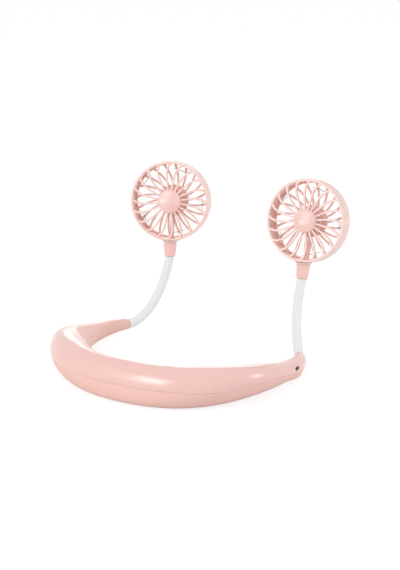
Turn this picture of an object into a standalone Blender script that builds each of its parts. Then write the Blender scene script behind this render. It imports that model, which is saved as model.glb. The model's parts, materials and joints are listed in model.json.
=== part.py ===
"""Hands-free neck fan: a U-shaped neckband, two bendable goosenecks and two caged fan heads.

The neckband lies on the flat strip of its underside, and the origin is on that strip, in the
middle of the back. X runs across the wearer, Y forwards to the open arms, and Z up. Both fans
face back to the wearer.
"""
import math

import bmesh
import bpy
from mathutils import Matrix, Vector

# Facets round a full turn, for large, middling and small pieces
LARGE_STEPS = 30
ROUND_STEPS = 20
SMALL_STEPS = 16
TINY_STEPS = 12

# Fits that all pieces share, in metres
GAP = 0.0003
OVERRUN = 0.0012
SINK = 0.0006
MERGE = 0.000001
SHARP_ANGLE = 35
EDGE_ROUND_STEPS = 3
ARC_STEPS = 2

# Neckband path: half of the U, from the middle of the back to the end of an arm
BAND_LENGTH = 0.1386
BAND_HALF_WIDTH = 0.1050
BACK_FORWARD = 0.0023
PATH_SHARES = ((0, 0), (0.714, 0), (0.72, 0.399), (1, 0.724), (0.795, 1))
BAND_ROWS = 28
PATH_SAMPLES = 600
FLAT_SEARCH_STEPS = 16

# Neckband section: a leaning oval, full outside and flatter towards the neck
BACK_HALF_HEIGHT = 0.0162
OUTER_BULGE = 0.0217
INNER_BULGE = 0.0099
BACK_LEAN = 29.0
SIDE_LEAN = 32.5
REST_FLAT = 0.0006
END_FLAT_SHARE = 0.9
END_FLAT_POWER = 4
WALL = 0.0014
OUTER_POWER = 2.2
INNER_POWER = 3.4
END_POWER = 2
END_BLEND_POWER = 6
HEIGHT_STATION_SHARES = (0, 0.3, 0.55, 0.8, 1)
HEIGHT_SHARES = (1, 0.944, 0.735, 0.466)
BULGE_STATION_SHARES = (0, 0.5, 0.8, 1)
OUTER_SHARES = (0.484, 1, 0.428)
INNER_SHARES = (1, 0.859, 0.57)
LEAN_STATION_SHARES = (0, 0.6, 1)

# The seam between the shells, as angles round the section from its outermost point
SEAM_STATION_SHARES = (0, 0.16, 0.42, 0.67, 1)
OUTER_SEAM_ANGLES = (-14, -17, -35, -24, -24)
INNER_SEAM_ANGLE = 122
SEAM_PROBE_ANGLE = 1
UNDERSIDE_ANGLES = (180, 340)
OUTER_SKIN_STEPS = 8
INNER_SKIN_STEPS = (5, 1, 3)

# Gooseneck: a silicone sleeve over a steel conduit with the motor lead inside
SLEEVE_RADIUS = 0.0040
CONDUIT_RADIUS = 0.0020
CONDUIT_BORE = 0.0011
LEAD_RADIUS = 0.0007
BASE_ANCHOR = 0.009
STRAIGHT_END = 0.0015
LEAN_PIVOT_SHARE = 0.3
SPREAD_PIVOT_SHARE = 0.7
SLEEVE_STEPS = 16
CORE_STEPS = 10
SLEEVE_ROUNDING = 3
CORE_ROUNDING = 1
ARM_END_RIM = 0.0005
ARM_END_RADIUS = SLEEVE_RADIUS + ARM_END_RIM

# Gooseneck tips, from the origin
TIP_ACROSS = 0.0647
TIP_FORWARD = 0.1825

RIGHT_TIP_HEIGHT = 0.0577
LEFT_TIP_HEIGHT = 0.0588

# How far each end of a gooseneck keeps its direction
RIGHT_BASE_PULL = 0.0147
LEFT_BASE_PULL = 0.0173
RIGHT_TIP_PULL = 0.0399
LEFT_TIP_PULL = 0.0382

# Each gooseneck: tip height, both pulls, and how much more than its head it leans forwards and
# outwards below the tip
NECK_SETTINGS = {
    "right": (RIGHT_TIP_HEIGHT, RIGHT_BASE_PULL, RIGHT_TIP_PULL, 3.0, 5.3),
    "left": (LEFT_TIP_HEIGHT, LEFT_BASE_PULL, LEFT_TIP_PULL, 4.7, -9.0),
}

# How each head is set: its side, lean forwards, lean outwards and turn inwards
HEAD_SETTINGS = {"right": (1, 13.4, -1.1, -0.4), "left": (-1, 8.2, 3.1, 17.2)}

# Collar under each fan head, and the neck that turns in it
COLLAR_HEIGHT = 0.0115
COLLAR_TOP_RADIUS = 0.0058
COLLAR_BOTTOM_RADIUS = 0.0048
COLLAR_ROUND = 0.0012
COLLAR_BORE = 0.0035
COLLAR_WEB = 0.0026
COLLAR_LINE_DEPTH = 0.0003
COLLAR_LINE_HEIGHT = 0.0006
COLLAR_LINE_DROP = 0.0012
FERRULE_LENGTH = 0.006
FERRULE_WALL = 0.0005
FLANGE_RADIUS = 0.0059
FLANGE_FLARE = 0.0011
FLANGE_HEIGHT = 0.0022
STEM_RADIUS = 0.0026
STEM_TAIL = 0.0016
STEM_BORE = 0.0012
CLIP_THICKNESS = 0.0006
CLIP_GROOVE_DEPTH = 0.0006

# Fan head drum
FAN_RADIUS = 0.0350
FAN_DEPTH = 0.0143
DRUM_WALL = 0.0012
RIM_WIDTH = 0.0019
RIM_HEIGHT = 0.0028
RIM_ROUND = 0.0010
REAR_RIM_WIDTH = 0.0030
REAR_RIM_HEIGHT = 0.0026
SPIGOT_WALL = 0.0009
SPIGOT_LENGTH = 0.0022

# Grilles: the front ribs curl close to the rim, the rear ones sweep the other way and bulge back, so
# that the two sets cross as petals. Each curve: angle of its first root from the top, sweep, power
RIB_COUNT = 20
FRONT_RIB_CURVE = (8.8, 10.2, 3.8)
FRONT_STATION_SHARES = (0, 0.5, 0.78, 1)
REAR_RIB_CURVE = (0.9, -14.9, 1)
REAR_STATION_SHARES = (0, 0.5, 1)
FRONT_RIB_WIDTH = 0.0018
FRONT_RIB_ROOT = 0.0015
FRONT_RIB_DEPTH = 0.0028
REAR_RIB_WIDTH = 0.0018
REAR_RIB_ROOT = 0.0015
REAR_RIB_DEPTH = 0.0026
REAR_BULGE = 0.0035
HUB_RADIUS = 0.0097
HUB_EDGE = 0.0006
HUB_DOME = 0.0022
DOME_SHARES = (0.4, 0.75, 1)
HUB_THICKNESS = 0.0022
STRUT_WIDTH = 0.0034
STRUT_DEPTH = 0.0030

# Motor and impeller
MOTOR_RADIUS = 0.0062
MOTOR_LENGTH = 0.0098
MOTOR_CAP_LENGTH = 0.0012
MOTOR_NOSE_RADIUS = 0.0022
MOTOR_NOSE_HEIGHT = 0.0006
MOTOR_CUP_WALL = 0.0023
MOTOR_CUP_FLOOR = 0.0013
MOTOR_CUP_DEPTH = 0.0050
MOTOR_CUP_DOME = 0.0007
MOTOR_PLATE_RADIUS = 0.0136
MOTOR_PLATE_THICKNESS = 0.0012
SHAFT_RADIUS = 0.00075
SHAFT_DEPTH = 0.0027
IMPELLER_HUB_RADIUS = 0.0086
IMPELLER_HUB_WALL = 0.0012
IMPELLER_HUB_HEIGHT = 0.0080
IMPELLER_ROOF = 0.0014
IMPELLER_BOSS_RADIUS = 0.0020
IMPELLER_AIR = 0.0006
SHAFT_FIT = 0.0002
BLADE_COUNT = 5
BLADE_STATIONS = 4
BLADE_THICKNESS = 0.0009
BLADE_ROOT_CHORD = 0.0085
BLADE_TIP_CHORD = 0.0170
BLADE_CHORD_POWER = 0.7
BLADE_ROOT_PITCH = 38.0
BLADE_TIP_PITCH = 20.0
BLADE_TIP_AIR = 0.0009

# Battery cells in the back of the band
CELL_LENGTH = 0.044
CELL_HEIGHT = 0.017
CELL_THICKNESS = 0.0068
CELL_ROUND = 0.0012
CELL_STATION_SHARE = 0.175

# Electronics in the right arm: board, charging socket, switch, button and light
PORT_STATION_SHARE = 0.8
PORT_ANGLE = -2
PORT_WIDTH = 0.0086
PORT_HEIGHT = 0.0036
SOCKET_WIDTH = 0.0078
SOCKET_HEIGHT = 0.0028
SOCKET_DEPTH = 0.0056
SOCKET_WALL = 0.0004
SOCKET_RECESS = 0.0009
BOARD_LENGTH = 0.024
BOARD_WIDTH = 0.0076
BOARD_SETBACK = 0.0036
BOARD_THICKNESS = 0.0010
BOARD_FRONT = 0.0055
SWITCH_BODY = 0.0036
SWITCH_HEIGHT = 0.0034
SWITCH_NUB_RADIUS = 0.0010
SWITCH_NUB_LENGTH = 0.0008
BUTTON_SETBACK = 0.0140
BUTTON_RADIUS = 0.0030
BUTTON_PROUD = 0.0007
BUTTON_DOME = 0.0004
BUTTON_FLANGE = 0.0007
BUTTON_FLANGE_THICKNESS = 0.0006
BUTTON_TRAVEL = 0.0005
LIGHT_SETBACK = 0.0205
LIGHT_RADIUS = 0.0011
LIGHT_LENGTH = 0.0024

# Screws that hold the shells together
SCREW_STATION_SHARES = {"back": 0, "left": -0.4, "right": 0.4}
SCREW_RADIUS = 0.0010
SCREW_HEAD_RADIUS = 0.0021
SCREW_HEAD_HEIGHT = 0.0012
SCREW_LENGTH = 0.0090
SCREW_SLOT_WIDTH = 0.0006
SCREW_SLOT_DEPTH = 0.0005
BOSS_RADIUS = 0.0034
BOSS_DEPTH = 0.0032
HEAD_SEAT_DEPTH = 0.0018

COLOURS = {
    "gloss_pink": ((0.93, 0.62, 0.57), 0.22, 0.0),
    "matte_pink": ((0.86, 0.55, 0.49), 0.6, 0.0),
    "white_silicone": ((0.86, 0.86, 0.87), 0.45, 0.0),
    "clear_white": ((0.88, 0.88, 0.88), 0.3, 0.0),
    "steel": ((0.62, 0.62, 0.64), 0.32, 1.0),
    "cell_foil": ((0.55, 0.58, 0.62), 0.4, 0.3),
    "board_green": ((0.05, 0.28, 0.12), 0.5, 0.0),
    "black_plastic": ((0.02, 0.02, 0.02), 0.5, 0.0),
    "lead_grey": ((0.35, 0.35, 0.36), 0.6, 0.0),
}


def clear_scene():
    for old in list(bpy.data.objects):
        bpy.data.objects.remove(old, do_unlink=True)


def new_collection(name):
    collection = bpy.data.collections.new(name)
    bpy.context.scene.collection.children.link(collection)
    return collection


clear_scene()
PARTS = new_collection("neck_fan")
CUTTERS = new_collection("cutters")


def material(name):
    """The shared material of this name, made on first use."""
    found = bpy.data.materials.get(name)
    if found:
        return found
    colour, roughness, metallic = COLOURS[name]
    made = bpy.data.materials.new(name)
    made.use_nodes = True
    shader = made.node_tree.nodes["Principled BSDF"]
    shader.inputs["Base Color"].default_value = (*colour, 1)
    shader.inputs["Roughness"].default_value = roughness
    shader.inputs["Metallic"].default_value = metallic
    return made


def add_object(name, mesh, look, parent=None, matrix=None):
    """Place a mesh as a named part, or as a cutter when look is None."""
    obj = bpy.data.objects.new(name, mesh)
    if look:
        PARTS.objects.link(obj)
        mesh.materials.append(material(look))
    else:
        CUTTERS.objects.link(obj)
        obj.hide_render = True
        obj.display_type = "WIRE"
    if parent:
        obj.parent = parent
    if matrix:
        obj.matrix_local = matrix
    return obj


def mesh_from(bm, name, smooth=True):
    mesh = bpy.data.meshes.new(name)
    bm.to_mesh(mesh)
    bm.free()
    if smooth:
        mesh.shade_smooth()
        mesh.set_sharp_from_angle(angle=math.radians(SHARP_ANGLE))
    return mesh


def boolean(obj, other, operation):
    step = obj.modifiers.new(other.name, "BOOLEAN")
    step.operation = operation
    step.object = other
    return obj


def cut(obj, *cutters):
    for cutter in cutters:
        boolean(obj, cutter, "DIFFERENCE")
    return obj


def join(obj, *additions):
    for addition in additions:
        boolean(obj, addition, "UNION")
    return obj


def turned(name, profile, look, steps, closed=False, parent=None, matrix=None):
    """Turn a profile of (radius, height) points, listed down its outer side, about Z."""
    bm = bmesh.new()
    points = [bm.verts.new((radius, 0, height)) for radius, height in profile]
    pairs = list(zip(points, points[1:]))
    if closed:
        pairs.append((points[-1], points[0]))
    for first, second in pairs:
        bm.edges.new((first, second))
    obj = add_object(name, mesh_from(bm, name, smooth=False), look, parent, matrix)
    screw = obj.modifiers.new("turn", "SCREW")
    screw.axis = "Z"
    screw.steps = steps
    screw.render_steps = steps
    screw.use_merge_vertices = True
    screw.merge_threshold = MERGE
    screw.use_smooth_shade = False
    return obj


def cylinder(name, radius, low, high, look=None, steps=SMALL_STEPS, parent=None, matrix=None):
    profile = [(0, high), (radius, high), (radius, low), (0, low)]
    return turned(name, profile, look, steps, False, parent, matrix)


def studs(name, places, steps=SMALL_STEPS):
    """Plain cylinders as one mesh, from (matrix, radius, low, high) along each matrix's Z."""
    bm = bmesh.new()
    for matrix, radius, low, high in places:
        where = matrix @ Matrix.Translation((0, 0, (low + high) / 2))
        bmesh.ops.create_cone(bm, cap_ends=True, segments=steps, radius1=radius, radius2=radius,
                              depth=high - low, matrix=where)
    return add_object(name, mesh_from(bm, name), None)


def block(name, size, centre, look=None, rounding=None, parent=None, matrix=None):
    """A box of this size about this centre, its edges along Y rounded when asked for."""
    bm = bmesh.new()
    bmesh.ops.create_cube(bm, size=1)
    bmesh.ops.scale(bm, vec=size, verts=bm.verts)
    if rounding:
        along = [e for e in bm.edges if abs((e.verts[0].co - e.verts[1].co).normalized().y) > 0.9]
        bmesh.ops.bevel(bm, geom=along, offset=rounding, segments=EDGE_ROUND_STEPS, affect="EDGES")
    bmesh.ops.translate(bm, vec=centre, verts=bm.verts)
    return add_object(name, mesh_from(bm, name), look, parent, matrix)


def arc(centre, radius, start, end):
    """Points (radius, height) along an arc, its angles in degrees from the radial direction."""
    points = []
    for k in range(ARC_STEPS + 1):
        angle = math.radians(start + (end - start) * k / ARC_STEPS)
        points.append((centre[0] + radius * math.cos(angle), centre[1] + radius * math.sin(angle)))
    return points


def smooth_through(stations, values):
    """A smooth curve through values at stations, level at the first, with no overshoot."""
    spans = [b - a for a, b in zip(stations, stations[1:])]
    rises = [(b - a) / s for a, b, s in zip(values, values[1:], spans)]
    slopes = [0]
    for left, right in zip(rises, rises[1:]):
        slopes.append(2 * left * right / (left + right) if left * right > 0 else 0)
    slopes.append(rises[-1])

    def value(at):
        at = min(max(at, stations[0]), stations[-1])
        k = max(i for i in range(len(spans)) if stations[i] <= at)
        share = (at - stations[k]) / spans[k]
        stay = (1 + 2 * share) * (1 - share) ** 2
        arrive = share * share * (3 - 2 * share)
        leave_slope = share * (1 - share) ** 2 * spans[k]
        arrive_slope = share * share * (share - 1) * spans[k]
        return (stay * values[k] + arrive * values[k + 1]
                + leave_slope * slopes[k] + arrive_slope * slopes[k + 1])
    return value


def bezier(points, share):
    """A point on the Bezier curve of any degree through these control points."""
    while len(points) > 1:
        points = [a.lerp(b, share) for a, b in zip(points, points[1:])]
    return points[0]


def band_path():
    """Points along half of the band's path, with their share of its length."""
    controls = [Vector((x * BAND_HALF_WIDTH, y * BAND_LENGTH + BACK_FORWARD, 0))
                for x, y in PATH_SHARES]
    points = [bezier(controls, k / PATH_SAMPLES) for k in range(PATH_SAMPLES + 1)]
    lengths = [0]
    for a, b in zip(points, points[1:]):
        lengths.append(lengths[-1] + (b - a).length)
    return points, [length / lengths[-1] for length in lengths]


PATH_POINTS, PATH_AT = band_path()


def path_index(share):
    low, high = 0, len(PATH_AT) - 1
    while high - low > 1:
        middle = (low + high) // 2
        if PATH_AT[middle] <= share:
            low = middle
        else:
            high = middle
    return low


def path_point(share):
    """The path point at this share of the half length, and the direction towards the arm's end."""
    k = path_index(abs(share))
    inside = (abs(share) - PATH_AT[k]) / (PATH_AT[k + 1] - PATH_AT[k])
    point = PATH_POINTS[k].lerp(PATH_POINTS[k + 1], inside)
    before = PATH_POINTS[max(k - 1, 0)]
    after = PATH_POINTS[min(k + 2, len(PATH_POINTS) - 1)]
    along = (after - before).normalized()
    if share < 0:
        point = Vector((-point.x, point.y, 0))
        along = Vector((-along.x, along.y, 0))
    return point, along


half_height = smooth_through(
    HEIGHT_STATION_SHARES, [s * BACK_HALF_HEIGHT for s in HEIGHT_SHARES] + [ARM_END_RADIUS])
outer_bulge = smooth_through(
    BULGE_STATION_SHARES, [s * OUTER_BULGE for s in OUTER_SHARES] + [ARM_END_RADIUS])
inner_bulge = smooth_through(
    BULGE_STATION_SHARES, [s * INNER_BULGE for s in INNER_SHARES] + [ARM_END_RADIUS])
lean_angle = smooth_through(LEAN_STATION_SHARES, (BACK_LEAN, SIDE_LEAN, 0))
outer_seam = smooth_through(SEAM_STATION_SHARES, OUTER_SEAM_ANGLES)
TOWARDS_OUTSIDE = Matrix.Rotation(math.radians(-90), 4, "X")


def centre_height(share):
    """Height of the section's centre: the underside is cut flat, less and less towards the ends."""
    return half_height(share) - REST_FLAT * (1 - END_FLAT_SHARE * share ** END_FLAT_POWER)


def band_frame(share):
    """Axes of the leaning section: X along the arm, Y outwards, Z up through its top."""
    point, along = path_point(share)
    outward = Vector((along.y, -along.x, 0)) if share >= 0 else Vector((-along.y, along.x, 0))
    lean = math.radians(lean_angle(abs(share)))
    up = Vector((0, 0, 1))
    y_axis = outward * math.cos(lean) + up * math.sin(lean)
    z_axis = up * math.cos(lean) - outward * math.sin(lean)
    x_axis = y_axis.cross(z_axis)
    centre = point + up * centre_height(abs(share))
    frame = Matrix((x_axis, y_axis, z_axis)).transposed().to_4x4()
    frame.translation = centre
    return frame


def section_power(station, outside):
    """How full the section is on one side: both sides turn round towards the arm's end."""
    full = OUTER_POWER if outside else INNER_POWER
    return full + (END_POWER - full) * station ** END_BLEND_POWER


def section_offset(share, angle, inset):
    """Where the section's skin lies at an angle, as (outwards, up) in the leaning frame."""
    angle = math.radians(angle)
    across, rise = math.cos(angle), math.sin(angle)
    station = abs(share)
    outside = across > 0
    power = 2 / section_power(station, outside)
    bulge = outer_bulge(station) if outside else inner_bulge(station)
    y = math.copysign(abs(across) ** power, across) * (bulge - inset)
    z = math.copysign(abs(rise) ** power, rise) * (half_height(station) - inset)
    return y, z


def round_point(share, angle, inset=0):
    """A point on the band's section before its underside is cut flat."""
    y, z = section_offset(share, angle, inset)
    return band_frame(share) @ Vector((0, y, z))


def section_point(share, angle, inset=0):
    """A point on the band's skin, inset by a wall, flattened where the band rests."""
    point = round_point(share, angle, inset)
    point.z = max(point.z, inset)
    return point


def flat_edge(share, start, end):
    """The angle between two, one above the flat and one under it, at which the flat begins."""
    for _ in range(FLAT_SEARCH_STEPS):
        middle = (start + end) / 2
        if round_point(share, middle).z > 0:
            start = middle
        else:
            end = middle
    return end


def seam_edge(share, angle, sign):
    """A seam's angle, drawn back into its shell by half the gap."""
    before = section_point(share, angle - SEAM_PROBE_ANGLE)
    after = section_point(share, angle + SEAM_PROBE_ANGLE)
    return angle + sign * GAP * SEAM_PROBE_ANGLE / (after - before).length


def spread_angles(stops, steps):
    """Angles that step evenly from each stop to the next."""
    angles = [stops[0]]
    for start, end, count in zip(stops, stops[1:], steps):
        angles += [start + (end - start) * (k + 1) / count for k in range(count)]
    return angles


def outer_shell_angles(share):
    first = seam_edge(share, outer_seam(abs(share)), 1)
    last = seam_edge(share, INNER_SEAM_ANGLE, -1)
    return spread_angles((first, last), (OUTER_SKIN_STEPS,))


def inner_shell_angles(share):
    """Angles of the inner shell, with both edges of the flat strip that the band rests on."""
    first = seam_edge(share, INNER_SEAM_ANGLE, 1)
    last = seam_edge(share, outer_seam(abs(share)) + 360, -1)
    lowest = min(range(*UNDERSIDE_ANGLES), key=lambda angle: round_point(share, angle).z)
    stops = (first, flat_edge(share, first, lowest), flat_edge(share, last, lowest), last)
    return spread_angles(stops, INNER_SKIN_STEPS)


def band_shell(name, angles_at, look):
    """One moulded half of the neckband: a skin and its inner face, lofted along the path."""
    bm = bmesh.new()
    rows = []
    for r in range(BAND_ROWS + 1):
        share = 2 * r / BAND_ROWS - 1
        angles = angles_at(share)
        skin = [bm.verts.new(section_point(share, angle)) for angle in angles]
        inside = [bm.verts.new(section_point(share, angle, WALL)) for angle in angles]
        rows.append((skin, inside))
    for (skin, inside), (next_skin, next_inside) in zip(rows, rows[1:]):
        ring = skin + inside[::-1]
        next_ring = next_skin + next_inside[::-1]
        for k in range(len(ring)):
            n = (k + 1) % len(ring)
            bm.faces.new((ring[k], ring[n], next_ring[n], next_ring[k]))
    for skin, inside in (rows[0], rows[-1]):
        for k in range(len(skin) - 1):
            bm.faces.new((skin[k], skin[k + 1], inside[k + 1], inside[k]))
    bmesh.ops.recalc_face_normals(bm, faces=bm.faces)
    return add_object(name, mesh_from(bm, name), look)


def tube(name, points, radius, look, resolution, origin=None):
    """A round tube along points, as a mesh with closed ends, its origin where it bends."""
    curve = bpy.data.curves.new(name + "_path", "CURVE")
    curve.dimensions = "3D"
    curve.bevel_depth = radius
    curve.bevel_resolution = resolution
    curve.use_fill_caps = True
    spline = curve.splines.new("POLY")
    spline.points.add(len(points) - 1)
    start = origin or Vector()
    for knot, point in zip(spline.points, points):
        knot.co = (*(point - start), 1)
    rail = bpy.data.objects.new(name + "_path", curve)
    CUTTERS.objects.link(rail)
    rail.location = start
    bpy.context.view_layer.update()
    graph = bpy.context.evaluated_depsgraph_get()
    mesh = bpy.data.meshes.new_from_object(rail.evaluated_get(graph))
    place = rail.matrix_world.copy()
    bpy.data.objects.remove(rail)
    mesh.materials.clear()
    bm = bmesh.new()
    bm.from_mesh(mesh)
    bmesh.ops.remove_doubles(bm, verts=bm.verts, dist=MERGE)
    bmesh.ops.recalc_face_normals(bm, faces=bm.faces)
    bpy.data.meshes.remove(mesh)
    obj = add_object(name, mesh_from(bm, name), look)
    obj.matrix_world = place
    return obj


def neckband():
    """Both shells, with the bosses, seats and holes of the screws that hold them together."""
    outer = band_shell("outer_shell", outer_shell_angles, "gloss_pink")
    inner = band_shell("inner_shell", inner_shell_angles, "matte_pink")
    inner_bosses, outer_bosses, seats, shanks, pilots = [], [], [], [], []
    for place, share in SCREW_STATION_SHARES.items():
        frame = band_frame(share) @ TOWARDS_OUTSIDE
        face = -inner_bulge(abs(share))
        inside = outer_bulge(abs(share)) - WALL
        seat_top = face + HEAD_SEAT_DEPTH
        meet = face + BOSS_DEPTH
        tip = seat_top + SCREW_LENGTH
        inner_bosses.append((frame, BOSS_RADIUS, face + SINK, meet))
        outer_bosses.append((frame, BOSS_RADIUS, meet + GAP, inside + SINK))
        seats.append((frame, SCREW_HEAD_RADIUS + GAP, face - OVERRUN, seat_top))
        shanks.append((frame, SCREW_RADIUS + GAP, face, meet + OVERRUN))
        pilots.append((frame, SCREW_RADIUS + GAP, meet, tip + GAP))
        shell_screw(f"shell_screw_{place}", frame, seat_top - GAP, tip)
    join(inner, studs("inner_bosses", inner_bosses))
    join(outer, studs("outer_bosses", outer_bosses))
    cut(inner, studs("head_seats", seats))
    return outer, inner, shanks, pilots


def shell_screw(name, frame, seat, tip):
    """A pointed screw with a cross slot, its head against the seat."""
    head = seat - SCREW_HEAD_HEIGHT
    profile = [(0, tip), (SCREW_RADIUS, tip - SCREW_RADIUS), (SCREW_RADIUS, seat),
               (SCREW_HEAD_RADIUS, seat), (SCREW_HEAD_RADIUS, head), (0, head)]
    screw = turned(name, profile, "steel", TINY_STEPS, False, None, frame)
    long_way = 2 * SCREW_RADIUS + SCREW_SLOT_WIDTH
    for turn, letter in ((0, "a"), (90, "b")):
        cut(screw, block(f"{name}_slot_{letter}", (long_way, SCREW_SLOT_WIDTH, 2 * SCREW_SLOT_DEPTH),
                         (0, 0, head), matrix=frame @ Matrix.Rotation(math.radians(turn), 4, "Z")))


def inner_wall_at(share, height):
    """How far towards the neck the inside of the wall lies at this height in the section."""
    bulge = inner_bulge(share) - WALL
    reach = half_height(share) - WALL
    power = section_power(share, False)
    return -bulge * (1 - (height / reach) ** power) ** (1 / power)


def battery_cells():
    """Two flat cells, one each side of the back's middle, against the inner shell's wall."""
    for side, sign in (("right", 1), ("left", -1)):
        share = sign * CELL_STATION_SHARE
        frame = band_frame(share)
        wall = inner_wall_at(CELL_STATION_SHARE, CELL_HEIGHT / 2)
        centre = (0, wall + GAP + CELL_THICKNESS / 2, 0)
        block(f"battery_cell_{side}", (CELL_LENGTH, CELL_THICKNESS, CELL_HEIGHT), centre,
              "cell_foil", CELL_ROUND, matrix=frame)


def electronics(outer, inner, shanks, pilots):
    """Board, charging socket, switch, button and light, all set square in the right arm."""
    frame = band_frame(PORT_STATION_SHARE)
    mouth_y, mouth_z = section_offset(PORT_STATION_SHARE, PORT_ANGLE, 0)
    socket_y = mouth_y - SOCKET_RECESS - SOCKET_DEPTH / 2
    opening = (PORT_WIDTH, 2 * (SOCKET_RECESS + SOCKET_DEPTH), PORT_HEIGHT)
    cut(outer, studs("pilot_holes", pilots),
        block("port_cut", opening, (0, mouth_y, mouth_z), rounding=PORT_HEIGHT / 3, matrix=frame))
    socket = block("charging_socket", (SOCKET_WIDTH, SOCKET_DEPTH, SOCKET_HEIGHT),
                   (0, socket_y, mouth_z), "steel", SOCKET_HEIGHT / 3, matrix=frame)
    hollow = (SOCKET_WIDTH - 2 * SOCKET_WALL, SOCKET_DEPTH, SOCKET_HEIGHT - 2 * SOCKET_WALL)
    cut(socket, block("socket_hollow", hollow, (0, socket_y + 2 * SOCKET_WALL, mouth_z),
                      rounding=hollow[2] / 3, matrix=frame))
    board_top = mouth_z - SOCKET_HEIGHT / 2 - GAP
    board_y = mouth_y - BOARD_SETBACK - BOARD_WIDTH / 2
    block("control_board", (BOARD_LENGTH, BOARD_WIDTH, BOARD_THICKNESS),
          (BOARD_LENGTH / 2 - BOARD_FRONT, board_y, board_top - BOARD_THICKNESS / 2),
          "board_green", matrix=frame)

    wall = skin_offset(frame, BUTTON_SETBACK)
    reach = BUTTON_RADIUS + BUTTON_FLANGE
    drop = inner_wall_at(PORT_STATION_SHARE, reach) - inner_wall_at(PORT_STATION_SHARE, 0)
    edges = (skin_offset(frame, BUTTON_SETBACK - reach), skin_offset(frame, BUTTON_SETBACK + reach))
    flange_front = max(wall, *edges) + WALL + drop + GAP
    flange_back = flange_front + BUTTON_FLANGE_THICKNESS
    push = frame @ Matrix.Translation((BUTTON_SETBACK, 0, 0)) @ TOWARDS_OUTSIDE
    face = wall - BUTTON_PROUD
    profile = [(0, flange_back), (reach, flange_back), (reach, flange_front),
               (BUTTON_RADIUS, flange_front),
               (BUTTON_RADIUS, face), (BUTTON_RADIUS - BUTTON_DOME, face - BUTTON_DOME / 2),
               (0, face - BUTTON_DOME)]
    turned("power_button", profile, "gloss_pink", SMALL_STEPS, False, None, push)
    nub_tip = flange_back + BUTTON_TRAVEL + GAP
    body_front = nub_tip + SWITCH_NUB_LENGTH
    switch = block("push_switch", (SWITCH_BODY, SWITCH_HEIGHT, SWITCH_BODY),
                   (BUTTON_SETBACK, body_front + SWITCH_HEIGHT / 2, 0), "black_plastic",
                   matrix=frame)
    nub_end = body_front + SINK
    join(switch, cylinder("switch_nub", SWITCH_NUB_RADIUS, nub_tip, nub_end, matrix=push))

    lamp_wall = skin_offset(frame, LIGHT_SETBACK)
    lamp = frame @ Matrix.Translation((LIGHT_SETBACK, 0, 0)) @ TOWARDS_OUTSIDE
    cylinder("indicator_light", LIGHT_RADIUS, lamp_wall, lamp_wall + LIGHT_LENGTH, "clear_white",
             matrix=lamp)
    cut(inner, studs("inner_holes", shanks + [
        (push, BUTTON_RADIUS + GAP, wall - 2 * OVERRUN, flange_front),
        (lamp, LIGHT_RADIUS + GAP / 2, lamp_wall - 2 * OVERRUN, lamp_wall + WALL + OVERRUN)]))


def skin_offset(frame, along):
    """How far towards the neck the band's skin lies, in a straight frame, this far along it."""
    spot = frame @ Vector((along, 0, 0))
    best = min(range(len(PATH_AT)), key=lambda k: (PATH_POINTS[k].xy - spot.xy).length)
    skin = section_point(PATH_AT[best], 180)
    return (frame.inverted() @ skin).y


def side_rotation(sign, forwards, outwards, toe_in):
    """Axes of a head: Z up its stem, -Y the way that it blows, turned towards the wearer."""
    z_axis = Vector((sign * math.sin(math.radians(outwards)), math.sin(math.radians(forwards)), 0))
    z_axis.z = math.sqrt(1 - z_axis.length_squared)
    facing = Vector((-sign * math.sin(math.radians(toe_in)), -math.cos(math.radians(toe_in)), 0))
    facing = (facing - z_axis * facing.dot(z_axis)).normalized()
    y_axis = -facing
    x_axis = y_axis.cross(z_axis)
    return Matrix((x_axis, y_axis, z_axis)).transposed().to_4x4()


def empty(name, matrix, parent=None):
    marker = bpy.data.objects.new(name, None)
    PARTS.objects.link(marker)
    marker.parent = parent
    marker.matrix_local = matrix
    return marker


def gooseneck_route(side, sign, tip_frame):
    """Control points of the bent gooseneck from the arm's end to the collar, and both directions."""
    _, base_pull, tip_pull, forwards, outwards = NECK_SETTINGS[side]
    base, along = path_point(sign)
    base.z = centre_height(1)
    tip = tip_frame.translation
    rise = tip_frame.to_3x3() @ Vector((0, 0, 1))
    bend = Vector((sign * math.tan(math.radians(outwards)), math.tan(math.radians(forwards)), 0))
    arrival = (rise + bend).normalized()
    controls = [base, base + along * base_pull, tip - arrival * tip_pull, tip]
    return controls, along, rise


def route_points(controls, steps, base_shift, tip_shift, along, rise):
    """The route as points, straight at both ends, which move by these shifts along it."""
    points = [bezier(controls, k / steps) for k in range(1, steps)]
    start, end = controls[0], controls[-1]
    return ([start + along * base_shift, start + along * STRAIGHT_END] + points
            + [end - rise * STRAIGHT_END, end + rise * tip_shift])


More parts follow.
